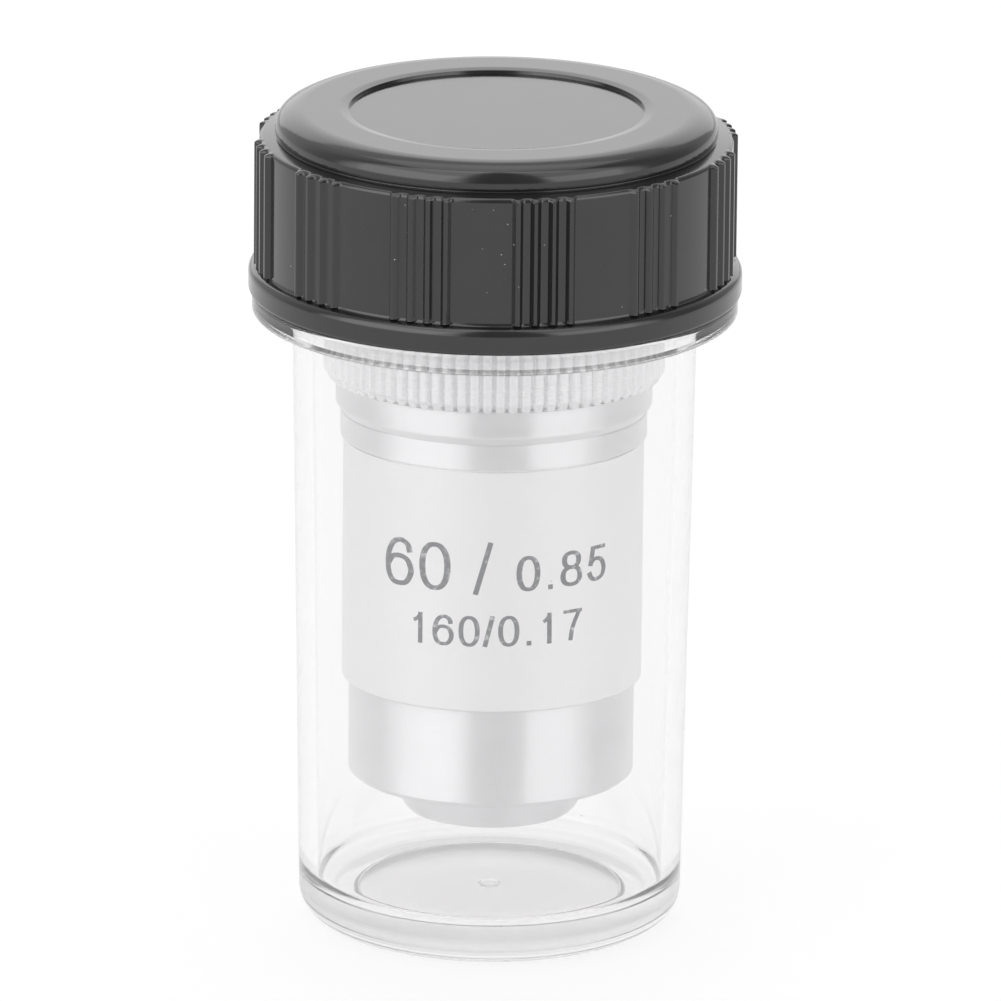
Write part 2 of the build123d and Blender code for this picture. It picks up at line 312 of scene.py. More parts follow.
@dataclass(frozen=True)
class TurnedMetal(Finish):
    """Plated metal with turning lines round the axis, which smear its reflections along the axis."""

    dark: Colour = (0.84, 0.842, 0.85)
    light: Colour = (0.90, 0.90, 0.905)
    cloud_scale: float = 180.0
    roughness: float = 0.36
    roughness_swing: float = 0.03
    anisotropy: float = 0.97
    quarter_turn: float = 0.25
    line_scale: float = 260.0
    line_stretch: Point = (0.15, 60.0)
    line_depth: float = 0.000002
    line_strength: float = 0.25

    def shade(self, graph: Graph) -> Socket:
        """Builds a metallic shader whose lines run round the axis.

        Args:
            graph: the material's node tree.

        Returns:
            The shader's output.
        """
        lines = self.noise(graph, self.line_scale, self.line_stretch)
        clouds = self.noise(graph, self.cloud_scale)
        low, high = self.roughness - self.roughness_swing, self.roughness + self.roughness_swing
        inputs = {
            "Base Color": self.tone(graph, clouds, self.dark, self.light),
            "Roughness": graph.ramp(lines, NOISE_LOW, NOISE_HIGH, low, high),
            "Normal": self.bump(graph, lines, self.line_strength, self.line_depth),
            "Metallic": 1.0,
            "Anisotropic": self.anisotropy,
            "Anisotropic Rotation": self.quarter_turn,
            "Tangent": graph.add("ShaderNodeTangent", direction_type="RADIAL", axis="Z").outputs[0],
        }
        return graph.node("ShaderNodeBsdfPrincipled", inputs).outputs[0]


@dataclass(frozen=True)
class GrainedMetal(Finish):
    """Satin plated metal with an even fine grain."""

    dark: Colour = (0.86, 0.86, 0.86)
    light: Colour = (0.95, 0.95, 0.95)
    roughness: float = 0.42
    roughness_swing: float = 0.06
    grain_scale: float = 9000.0
    grain_detail: float = 2.0
    grain_depth: float = 0.000006
    grain_strength: float = 0.35

    def shade(self, graph: Graph) -> Socket:
        """Builds a metallic shader with a fine even grain.

        Args:
            graph: the material's node tree.

        Returns:
            The shader's output.
        """
        grain = self.noise(graph, self.grain_scale, detail=self.grain_detail)
        low, high = self.roughness - self.roughness_swing, self.roughness + self.roughness_swing
        inputs = {
            "Base Color": self.tone(graph, grain, self.dark, self.light),
            "Roughness": graph.ramp(grain, NOISE_LOW, NOISE_HIGH, high, low),
            "Normal": self.bump(graph, grain, self.grain_strength, self.grain_depth),
            "Metallic": 1.0,
        }
        return graph.node("ShaderNodeBsdfPrincipled", inputs).outputs[0]


@dataclass(frozen=True)
class MouldedPlastic(Finish):
    """Opaque glossy moulded plastic with faint clouding and hairline scuffs."""

    dark: Colour = (0.016, 0.016, 0.017)
    light: Colour = (0.024, 0.023, 0.025)
    least_roughness: float = 0.11
    greatest_roughness: float = 0.16
    ior: float = 1.6
    wave_scale: float = 420.0
    wave_depth: float = 0.00001
    wave_strength: float = 0.06
    scuff_scale: float = 6000.0
    scuff_low: float = 0.1
    scuff_high: float = 0.4

    def shade(self, graph: Graph) -> Socket:
        """Builds a glossy dielectric shader.

        Args:
            graph: the material's node tree.

        Returns:
            The shader's output.
        """
        clouds = self.noise(graph, self.wave_scale)
        scuffs = graph.maths("MULTIPLY", self.noise(graph, self.scuff_scale, detail=1.0), clouds)
        rough = (self.least_roughness, self.greatest_roughness)
        inputs = {
            "Base Color": self.tone(graph, clouds, self.dark, self.light),
            "Roughness": graph.ramp(scuffs, self.scuff_low, self.scuff_high, *rough),
            "Normal": self.bump(graph, clouds, self.wave_strength, self.wave_depth),
            "IOR": self.ior,
        }
        return graph.node("ShaderNodeBsdfPrincipled", inputs).outputs[0]


@dataclass(frozen=True)
class Haze:
    """A stretch of height in which clear plastic is a little milky, and how much. Heights in metres."""

    low: float
    high: float
    most: float


@dataclass(frozen=True)
class ClearMoulding(Finish):
    """Clear moulded plastic, which lets lamps through so that what is inside stays lit."""

    tint: Colour = (0.976, 0.970, 0.974)
    lamp_tint: Colour = (0.97, 0.97, 0.97)
    greatest_roughness: float = 0.02
    ior: float = 1.5
    wave_scale: float = 90.0
    wave_low: float = 0.3
    wave_high: float = 0.8
    wave_depth: float = 0.00003
    wave_strength: float = 0.05
    haze: tuple[Haze, ...] = ()
    haze_edge: float = 0.0004
    haze_colour: Colour = (0.93, 0.93, 0.94)
    frost: float = 0.0
    frost_height: float = 0.0012
    frost_radius: float = 0.0097

    def hazed(self, graph: Graph, shader: Socket, height: Socket) -> Socket:
        """Makes the plastic a little milky between some heights.

        Args:
            graph: the material's node tree.
            shader: the clear shader.
            height: the place along the optical axis.

        Returns:
            The shader's output.
        """
        share: object = 0.0
        for haze in self.haze:
            rise = graph.ramp(height, haze.low - self.haze_edge, haze.low, 0.0, haze.most)
            fall = graph.ramp(height, haze.high, haze.high + self.haze_edge, 1.0, 0.0)
            share = graph.maths("ADD", share, graph.maths("MULTIPLY", rise, fall))
        sides = ("ShaderNodeBsdfTranslucent", "ShaderNodeBsdfDiffuse")
        through, back = (graph.node(side, {"Color": opaque(self.haze_colour)}).outputs[0] for side in sides)
        return graph.blend(share, shader, graph.blend(0.5, through, back))

    def shade(self, graph: Graph) -> Socket:
        """Builds a clear shader.

        Args:
            graph: the material's node tree.

        Returns:
            The shader's output.
        """
        waves = self.noise(graph, self.wave_scale)
        x, y, z = graph.split(graph.add("ShaderNodeTexCoord").outputs["Object"])
        low = graph.maths("LESS_THAN", z, self.frost_height)
        near = graph.maths("LESS_THAN", graph.distance(x, y), self.frost_radius)
        under = graph.maths("MULTIPLY", low, near)
        smooth = graph.ramp(waves, self.wave_low, self.wave_high, 0.0, self.greatest_roughness)
        inputs = {
            "Base Color": opaque(self.tint),
            "IOR": self.ior,
            "Transmission Weight": 1.0,
            "Roughness": graph.maths("MAXIMUM", smooth, graph.maths("MULTIPLY", under, self.frost)),
            "Normal": self.bump(graph, waves, self.wave_strength, self.wave_depth),
        }
        clear = graph.node("ShaderNodeBsdfPrincipled", inputs).outputs[0]
        body = self.hazed(graph, clear, z) if self.haze else clear
        film = graph.node("ShaderNodeBsdfTransparent", {"Color": opaque(self.lamp_tint)}).outputs[0]
        return graph.blend(graph.add("ShaderNodeLightPath").outputs["Is Shadow Ray"], body, film)


@dataclass(frozen=True)
class MattePaint(Finish):
    """Rough opaque colour with a mottle, for ink, specks and blackened metal."""

    dark: Colour = (0.03, 0.03, 0.032)
    light: Colour = (0.06, 0.06, 0.064)
    least_roughness: float = 0.5
    greatest_roughness: float = 0.7
    mottle_scale: float = 4000.0
    mottle_low: float = 0.35
    mottle_high: float = 0.65
    mottle_depth: float = 0.000005
    mottle_strength: float = 0.2

    def shade(self, graph: Graph) -> Socket:
        """Builds a rough mottled shader.

        Args:
            graph: the material's node tree.

        Returns:
            The shader's output.
        """
        mottle = self.noise(graph, self.mottle_scale)
        spread = graph.ramp(mottle, self.mottle_low, self.mottle_high, 0.0, 1.0)
        rough = (self.least_roughness, self.greatest_roughness)
        inputs = {
            "Base Color": self.tone(graph, spread, self.dark, self.light),
            "Roughness": graph.ramp(mottle, NOISE_LOW, NOISE_HIGH, *rough),
            "Normal": self.bump(graph, mottle, self.mottle_strength, self.mottle_depth),
        }
        return graph.node("ShaderNodeBsdfPrincipled", inputs).outputs[0]


@dataclass(frozen=True)
class FloorPaper(Finish):
    """White paper that shows plain white, with the object's shadow on it."""

    colour: Colour = (0.80, 0.80, 0.80)
    shadow_colour: Colour = (0.36, 0.36, 0.36)
    glow: float = 0.70

    def shade(self, graph: Graph) -> Socket:
        """Builds pale matt paper, which shows white with a faint shadow where it is seen.

        Args:
            graph: the material's node tree.

        Returns:
            The shader's output.
        """
        colours = (self.colour, self.shadow_colour)
        matt = "ShaderNodeBsdfDiffuse"
        paper, shadow = (graph.node(matt, {"Color": opaque(hue)}).outputs[0] for hue in colours)
        glow = graph.node("ShaderNodeEmission", {"Color": opaque(WHITE), "Strength": self.glow}).outputs[0]
        return graph.blend(graph.seen(), paper, graph.listed("ShaderNodeAddShader", (shadow, glow)))


POLISHED = TurnedMetal("polished_plating")
KNURLED = TurnedMetal("knurled_plating", roughness=0.3, anisotropy=0.6, line_strength=0.15)
SATIN = GrainedMetal("satin_plating")
BRASS = TurnedMetal("turned_brass", dark=(0.62, 0.44, 0.2), light=(0.74, 0.55, 0.28), roughness=0.3)
STEEL = TurnedMetal("spring_steel", dark=(0.45, 0.45, 0.46), light=(0.6, 0.6, 0.62), roughness=0.3)
BLACK = MouldedPlastic("black_moulding")
CLEAR = ClearMoulding("clear_moulding")
CROWN = ClearMoulding("crown_glass", ior=1.52, wave_strength=0.01)
FLINT = ClearMoulding("flint_glass", tint=(0.99, 0.98, 0.95), ior=1.62, wave_strength=0.01)
BLACKENED = MattePaint("blackened_metal")
INK = MattePaint(
    "etched_numbers",
    dark=(0.24, 0.245, 0.255),
    light=(0.66, 0.67, 0.69),
    mottle_scale=2600.0,
    mottle_low=0.5,
    mottle_high=0.78,
)
PALE_DUST = MattePaint("pale_dust", dark=(0.5, 0.5, 0.5), light=(0.8, 0.8, 0.8))
DARK_DUST = MattePaint("dark_dust", dark=(0.15, 0.14, 0.13), light=(0.35, 0.33, 0.32))
PAPER = FloorPaper("floor_paper")


@dataclass(frozen=True)
class Corner:
    """One corner of a turned outline, in millimetres, with the size of its rounding."""

    radius: float
    height: float
    round: float = 0.0

    def place(self) -> Vector:
        """Returns the corner as a point in the outline's plane."""
        return Vector((self.radius, self.height))


@dataclass(frozen=True)
class Rows:
    """A stretch of a turned surface that gets rows of points, because a pattern moves it. In millimetres."""

    low: float
    high: float
    least_radius: float
    spacing: float


@dataclass
class Turning:
    """A solid of revolution about the optical axis."""

    name: str
    corners: list[Corner]
    segments: int = 192
    chord_error: float = 0.006
    rows: list[Rows] = field(default_factory=list)
    support: float = 0.05
    long_stretch: float = 0.4

    def outline(self) -> list[Point]:
        """Rounds the corners.

        Returns:
            The outline's points, in millimetres.
        """
        points: list[Point] = []
        for index, corner in enumerate(self.corners):
            here = corner.place()
            if corner.round <= 0:
                points.append((here.x, here.y))
                continue
            back = (self.corners[index - 1].place() - here).normalized()
            ahead = (self.corners[(index + 1) % len(self.corners)].place() - here).normalized()
            half = back.angle(ahead) / 2
            centre = here + (back + ahead).normalized() * corner.round / math.sin(half)
            start = here + back * corner.round / math.tan(half) - centre
            end = here + ahead * corner.round / math.tan(half) - centre
            first = math.atan2(start.y, start.x)
            sweep = math.remainder(math.atan2(end.y, end.x) - first, math.tau)
            steps = max(2, math.ceil(abs(sweep) / (2 * math.acos(1 - self.chord_error / corner.round))))
            for step in range(steps + 1):
                turn = first + sweep * step / steps
                across, up = corner.round * math.cos(turn), corner.round * math.sin(turn)
                points.append((centre.x + across, centre.y + up))
        return points

    def supported(self, points: list[Point]) -> list[Point]:
        """Adds a point close to each end of a long stretch, which keeps its shading straight.

        Args:
            points: the rounded outline.

        Returns:
            The outline with the added points.
        """
        result: list[Point] = []
        for first, last in zip(points, points[1:] + points[:1]):
            result.append(first)
            start, end = Vector(first), Vector(last)
            length = (end - start).length
            if length > self.long_stretch:
                for share in (self.support / length, 1 - self.support / length):
                    middle = start.lerp(end, share)
                    result.append((middle.x, middle.y))
        return result

    def dense(self, points: list[Point]) -> list[Point]:
        """Adds rows of points where a pattern will move the surface.

        Args:
            points: the rounded outline.

        Returns:
            The outline with the rows that self.rows asks for.
        """
        result: list[Point] = []
        for (r0, z0), (r1, z1) in zip(points, points[1:] + points[:1]):
            result.append((r0, z0))
            for rows in self.rows:
                inside = rows.low - rows.spacing < (z0 + z1) / 2 < rows.high + rows.spacing
                if inside and min(r0, r1) > rows.least_radius and abs(z1 - z0) > rows.spacing:
                    count = math.ceil(abs(z1 - z0) / rows.spacing)
                    for step in range(1, count):
                        share = step / count
                        result.append((r0 + (r1 - r0) * share, z0 + (z1 - z0) * share))
                    break
        return result

    def build(self) -> Piece:
        """Turns the outline into a closed mesh.

        Returns:
            The new object, at the origin, linked to the scene.
        """
        rings: list[list[int]] = []
        places: list[tuple[float, float, float]] = []
        for radius, height in self.dense(self.supported(self.outline())):
            if radius < AXIS_TOUCH:
                rings.append([len(places)] * self.segments)
                places.append((0.0, 0.0, height * MM))
                continue
            rings.append(list(range(len(places), len(places) + self.segments)))
            for index in range(self.segments):
                turn = math.tau * index / self.segments
                places.append((radius * MM * math.cos(turn), radius * MM * math.sin(turn), height * MM))
        faces: list[tuple[int, ...]] = []
        for low, high in zip(rings, rings[1:] + rings[:1]):
            if low[0] == low[1] and high[0] == high[1]:
                continue
            for index in range(self.segments):
                after = (index + 1) % self.segments
                loop = [low[index], low[after], high[after], high[index]]
                faces.append(tuple(dict.fromkeys(loop)))
        mesh = bpy.data.meshes.new(self.name)
        mesh.from_pydata(places, [], faces)
        return finished(self.name, mesh)


def linked(name: str, data: bpy.types.ID) -> Piece:
    """Makes an object.

    Args:
        name: its name.
        data: its mesh, lamp or camera.

    Returns:
        The new object, at the origin and linked to the scene.
    """
    piece = bpy.data.objects.new(name, data)
    bpy.context.scene.collection.objects.link(piece)
    return piece


def smoothed(mesh: bpy.types.Mesh) -> None:
    """Shades a mesh smooth up to the crease angle."""
    mesh.shade_smooth()
    mesh.set_sharp_from_angle(angle=CREASE)


def finished(name: str, mesh: bpy.types.Mesh) -> Piece:
    """Turns the faces outwards, shades them and makes the object.

    Args:
        name: the object's name.
        mesh: its mesh, already in place.

    Returns:
        The new object.
    """
    shape = bmesh.new()
    shape.from_mesh(mesh)
    bmesh.ops.remove_doubles(shape, verts=shape.verts, dist=MERGE_DISTANCE)
    bmesh.ops.recalc_face_normals(shape, faces=shape.faces)
    shape.to_mesh(mesh)
    shape.free()
    smoothed(mesh)
    return linked(name, mesh)


class PieceTree:
    """The base of a geometry tree: named inputs at its start, and a real dressed mesh at its end."""

    name = "piece"
    floats: tuple[str, ...] = ()
    whole: tuple[str, ...] = ()

    def __init__(self) -> None:
        """Builds the tree."""
        self.tree = bpy.data.node_groups.new(self.name, "GeometryNodeTree")
        plan = [("Geometry", "Geometry"), *((label, "Float") for label in self.floats)]
        plan += [*((label, "Int") for label in self.whole), ("Material", "Material")]
        for label, kind in plan:
            self.tree.interface.new_socket(label, in_out="INPUT", socket_type=f"NodeSocket{kind}")
        self.tree.interface.new_socket("Geometry", in_out="OUTPUT", socket_type="NodeSocketGeometry")
        graph = Graph(self.tree)
        given = graph.add("NodeGroupInput").outputs
        real = graph.listed("GeometryNodeRealizeInstances", (self.geometry(graph, given),))
        dressed = graph.node("GeometryNodeSetMaterial", {"Geometry": real, "Material": given["Material"]})
        graph.feed(graph.add("NodeGroupOutput").inputs[0], dressed.outputs[0])

    def geometry(self, graph: Graph, given: Sockets) -> Socket:
        """Makes what the tree is for.

        Args:
            graph: the tree being filled.
            given: the tree's inputs by name.

        Returns:
            The geometry.
        """
        raise NotImplementedError

    @staticmethod
    def position(graph: Graph) -> tuple[Socket, ...]:
        """Returns the x, y and z of each point."""
        return graph.split(graph.add("GeometryNodeInputPosition").outputs[0])


@dataclass(frozen=True)
class Polar:
    """A place by its angle about the axis, its distance from it and its height along it."""

    angle: Socket
    radius: Socket
    height: Socket


class PatternTree(PieceTree):
    """The base of a geometry tree that moves a turned surface in or out by a rule."""

    def geometry(self, graph: Graph, given: Sockets) -> Socket:
        """Moves the surface.

        Args:
            graph: the tree being filled.
            given: the tree's inputs by name.

        Returns:
            The moved surface.
        """
        x, y, z = self.position(graph)
        radius = graph.distance(x, y)
        low, high, end = given["Low"], given["High"], given["End"]
        factors = (
            self.mark(graph, given, Polar(graph.maths("ARCTAN2", y, x), radius, z)),
            graph.ramp(z, low, graph.maths("ADD", low, end), 0.0, 1.0),
            graph.ramp(z, graph.maths("SUBTRACT", high, end), high, 1.0, 0.0),
            graph.maths("GREATER_THAN", radius, given["Least Radius"]),
            graph.maths("LESS_THAN", radius, given["Greatest Radius"]),
        )
        shift = given["Height"]
        for factor in factors:
            shift = graph.maths("MULTIPLY", shift, factor)
        ways = (graph.maths("MULTIPLY", shift, graph.maths("DIVIDE", side, radius)) for side in (x, y))
        inputs = {"Geometry": given["Geometry"], "Offset": graph.joined(*ways)}
        return graph.node("GeometryNodeSetPosition", inputs).outputs[0]

    def mark(self, graph: Graph, given: Sockets, place: Polar) -> Socket:
        """Gives the pattern's strength at a place.

        Args:
            graph: the tree being filled.
            given: the tree's inputs by name.
            place: the place.

        Returns:
            0 off the pattern and 1 on it.
        """
        raise NotImplementedError


class RibTree(PatternTree):
    """Straight ribs or grooves along the axis, in even groups round it."""

    name = "ribs_round_axis"
    floats = ("Groups", "Ribs", "Step", "First Angle", "Flat", "Half Width") + MOVE_INPUTS
    eased = True

    def mark(self, graph: Graph, given: Sockets, place: Polar) -> Socket:
        """Gives the rib's strength by the distance round the axis from the nearest rib.

        Args:
            graph: the tree being filled.
            given: the tree's inputs by name.
            place: the place.

        Returns:
            0 off a rib and 1 on it.
        """
        half_group = graph.maths("DIVIDE", math.pi, given["Groups"])
        turned = graph.maths("SUBTRACT", place.angle, given["First Angle"])
        local = graph.maths("WRAP", turned, half_group, graph.maths("MULTIPLY", half_group, -1.0))
        last = graph.maths("SUBTRACT", given["Ribs"], 1.0)
        middle = graph.maths("DIVIDE", last, 2.0)
        number = graph.maths("ADD", graph.maths("DIVIDE", local, given["Step"]), middle)
        number = graph.maths("MINIMUM", graph.maths("MAXIMUM", graph.maths("ROUND", number), 0.0), last)
        centre = graph.maths("MULTIPLY", graph.maths("SUBTRACT", number, middle), given["Step"])
        away = graph.maths("ABSOLUTE", graph.maths("SUBTRACT", local, centre))
        away = graph.maths("MULTIPLY", away, place.radius)
        return graph.ramp(away, given["Flat"], given["Half Width"], 1.0, 0.0, smooth=self.eased)


class GrooveTree(RibTree):
    """Straight grooves with flat flanks, as a knurling tool leaves them."""

    name = "grooves_round_axis"
    eased = False


class ThreadTree(PatternTree):
    """A right-handed screw thread."""

    name = "thread_round_axis"
    floats = ("Pitch", "Phase", "Crest", "Root") + MOVE_INPUTS

    def mark(self, graph: Graph, given: Sockets, place: Polar) -> Socket:
        """Gives the thread's strength by the distance along the axis from the nearest crest.

        Args:
            graph: the tree being filled.
            given: the tree's inputs by name.
            place: the place.

        Returns:
            0 at the root and 1 at the crest.
        """
        turns = graph.maths("DIVIDE", place.height, given["Pitch"])
        turns = graph.maths("SUBTRACT", turns, graph.maths("DIVIDE", place.angle, math.tau))
        turns = graph.maths("FRACT", graph.maths("ADD", turns, given["Phase"]))
        away = graph.maths("ABSOLUTE", graph.maths("SUBTRACT", turns, 0.5))
        away = graph.maths("MULTIPLY", away, given["Pitch"])
        return graph.ramp(away, given["Crest"], given["Root"], 1.0, 0.0, smooth=False)


class SpeckTree(PieceTree):
    """Tiny specks scattered over a surface."""

    name = "scattered_specks"
    floats = ("Density", "Radius", "Least Radius", "Low", "High")
    whole = ("Seed",)
    smallest = (0.5, 0.5, 0.2)
    largest = (1.5, 1.0, 0.5)

    def geometry(self, graph: Graph, given: Sockets) -> Socket:
        """Scatters the specks.

        Args:
            graph: the tree being filled.
            given: the tree's inputs by name.

        Returns:
            The specks.
        """
        x, y, z = self.position(graph)
        chosen = graph.maths("GREATER_THAN", graph.distance(x, y), given["Least Radius"])
        chosen = graph.maths("MULTIPLY", chosen, graph.maths("GREATER_THAN", z, given["Low"]))
        chosen = graph.maths("MULTIPLY", chosen, graph.maths("LESS_THAN", z, given["High"]))
        spread = {name: given[name] for name in ("Density", "Seed")}
        spread |= {"Mesh": given["Geometry"], "Selection": chosen}
        points = graph.node("GeometryNodeDistributePointsOnFaces", spread, distribute_method="RANDOM").outputs
        grain = graph.node("GeometryNodeMeshIcoSphere", {"Radius": given["Radius"], "Subdivisions": 1})
        size = graph.add("FunctionNodeRandomValue", data_type="FLOAT_VECTOR")
        size.inputs[0].default_value = self.smallest
        size.inputs[1].default_value = self.largest
        graph.feed(size.inputs["Seed"], given["Seed"])
        copies = {name: points[name] for name in ("Points", "Rotation")}
        copies |= {"Instance": grain.outputs["Mesh"], "Scale": size.outputs[0]}
        return graph.node("GeometryNodeInstanceOnPoints", copies).outputs[0]


def applied(
    piece: Piece, tree: PieceTree, finish: Finish, sizes: dict[str, float], others: dict[str, object]
) -> None:
    """Runs a geometry tree on a piece and keeps the result as its plain mesh.

    Args:
        piece: the object to change.
        tree: the geometry tree.
        finish: the finish of the result.
        sizes: the tree's inputs in millimetres, by name.
        others: its angles, counts and other inputs, by name.
    """
    values = {name: size * MM for name, size in sizes.items()} | others | {"Material": finish.make()}
    modifier = piece.modifiers.new(tree.name, "NODES")
    modifier.node_group = tree.tree
    for item in tree.tree.interface.items_tree:
        if item.item_type == "SOCKET" and item.in_out == "INPUT" and item.name in values:
            modifier[item.identifier] = values[item.name]
    view = bpy.context.evaluated_depsgraph_get()
    mesh = bpy.data.meshes.new_from_object(piece.evaluated_get(view), depsgraph=view)
    piece.modifiers.clear()
    spare = piece.data
    piece.data = mesh
    bpy.data.meshes.remove(spare)
    mesh.name = piece.name
    smoothed(mesh)


def dress(piece: Piece, finish: Finish) -> None:
    """Gives a piece one finish all over.

    Args:
        piece: the object to dress.
        finish: its finish.
    """
    piece.data.materials.clear()
    piece.data.materials.append(finish.make())


def seat(piece: Piece, body: Body, slot: Slot, *nodes: str) -> None:
    """Lets a piece ride on its body and stand for its solids, and reports it.

    Args:
        piece: the finished object.
        body: the body that carries it.
        slot: not used.
        nodes: the solids that it stands for.
    """
    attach(piece, body.value)
    if nodes:
        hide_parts(*nodes)
    LOG.info("%s: %d faces on %s", piece.name, len(piece.data.polygons), body.value)


def top(node: str) -> float:
    """Returns the highest place of a solid, in millimetres."""
    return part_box(node)[1].z / MM


def bottom(node: str) -> float:
    """Returns the lowest place of a solid, in millimetres."""
    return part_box(node)[0].z / MM


def reach(node: str) -> float:
    """Returns the greatest radius of a solid that stays inside its box both ways, in millimetres."""
    return min(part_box(node)[1].x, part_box(node)[1].y) / MM


@dataclass(frozen=True)
class Thread:
    """A thread's pitch, half its crest, half its root, its height and its run-out. Sizes in millimetres."""

    pitch: float
    crest: float
    root: float
    height: float
    run_out: float
    phase: float = 0.0

    def cut(self, piece: Piece, tree: ThreadTree, finish: Finish, ends: Point, radii: Point) -> None:
        """Cuts the thread into a turned piece.

        Args:
            piece: the piece.
            tree: the geometry tree for threads.
            finish: the piece's finish.
            ends: the thread's lowest and highest place.
            radii: the least and greatest radius of the surface that takes it.
        """
        sizes = {"Pitch": self.pitch, "Crest": self.crest, "Root": self.root, "Height": self.height}
        sizes |= {"Low": ends[0], "High": ends[1], "End": self.run_out}
        sizes |= {"Least Radius": radii[0], "Greatest Radius": radii[1]}
        applied(piece, tree, finish, sizes, {"Phase": self.phase})


@dataclass
class ClearCase:
    """The clear moulded case: tapered wall, hollow foot, flange and threaded neck. Sizes in millimetres."""

    floor: float = 2.7
    wall: float = 1.38
    wall_spacing: float = 4.0
    wall_ends: float = 0.5
    mouth_bore: float = 13.0
    mouth_round: float = 0.4
    neck: float = 14.6
    neck_round: float = 0.15
    flange_height: float = 1.57
    under_round: float = 0.25
    slope: float = math.tan(math.radians(0.94))
    foot_round: float = 2.3
    inner_round: float = 1.4
    foot_ring: float = 1.75
    foot_recess: float = 0.9
    recess_round: float = 0.25
    gate: float = 0.7
    gate_height: float = 0.2
    gate_round: float = 0.12
    gate_flare: float = 0.1
    gate_foot: float = 0.05
    edge_round: float = 0.3
    thread: Thread = Thread(3.0, 0.15, 0.6, 0.6, 0.5)
    thread_low: float = 0.9
    thread_high: float = 0.5
    segments: int = 288
    smoothness: float = 0.0015
    rim_gap: float = 0.03
    foot_haze: float = 0.07
    wall_haze: float = 0.015
    flange_haze: float = 0.08
    frost: float = 0.2

    def finish(self) -> ClearMoulding:
        """Returns the clear finish, a little milky in the thick foot and flange."""
        seat_z = bottom("case_cap")
        ends = (0.0, self.floor * MM, (seat_z - self.flange_height) * MM, seat_z * MM)
        shares = (self.foot_haze, self.wall_haze, self.flange_haze)
        haze = tuple(Haze(low, high, most) for low, high, most in zip(ends, ends[1:], shares))
        return replace(CLEAR, haze=haze, frost=self.frost)

    def bore(self, height: float) -> float:
        """Returns the inner radius of the tapered wall at a height."""
        return self.mouth_bore - self.slope * (top("case_vial") - height)

    def corners(self) -> list[Corner]:
        """Lists the outline.

        Returns:
            The corners from the axis under the foot, up the outside and down the inside.
        """
        mouth = top("case_vial")
        flange = reach("case_vial")
        flange_low = bottom("case_cap") - self.flange_height
        flange_top = bottom("case_cap") - self.rim_gap
        foot = self.bore(0.0) + self.wall
        recess = foot - self.foot_round - self.foot_ring
        under = self.foot_recess
        return [
            Corner(0.0, under - self.gate_height),
            Corner(self.gate, under - self.gate_height, self.gate_round),
            Corner(self.gate + self.gate_flare, under, self.gate_foot),
            Corner(recess, under, self.recess_round),
            Corner(recess, 0.0, self.recess_round),
            Corner(foot, 0.0, self.foot_round),
            Corner(self.bore(flange_low) + self.wall, flange_low, self.under_round),
            Corner(flange, flange_low, self.edge_round),
            Corner(flange, flange_top, self.edge_round),
            Corner(self.neck, flange_top, self.neck_round),
            Corner(self.neck, mouth, self.mouth_round),
            Corner(self.mouth_bore, mouth, self.mouth_round),
            Corner(self.bore(self.floor), self.floor, self.inner_round),
            Corner(0.0, self.floor),
        ]

    def build(self, threads: ThreadTree) -> Piece:
        """Builds and dresses the case.

        Args:
            threads: the geometry tree for its neck thread.

        Returns:
            The finished piece.
        """
        seat_z = bottom("case_cap")
        mouth = top("case_vial")
        wall_high = seat_z - self.flange_height - self.wall_ends
        rows = [
            Rows(seat_z, mouth, self.neck - TOUCH, THREAD_ROWS),
            Rows(self.foot_round + self.wall_ends, wall_high, self.mouth_bore, self.wall_spacing),
        ]
        piece = Turning("clear_case", self.corners(), self.segments, self.smoothness, rows).build()
        ends = (seat_z + self.thread_low, mouth - self.thread_high)
        self.thread.cut(piece, threads, self.finish(), ends, (self.neck - TOUCH / 2, self.neck + TOUCH))
        seat(piece, Body.CASE, Slot.CLEAR, "case_vial")
        return piece


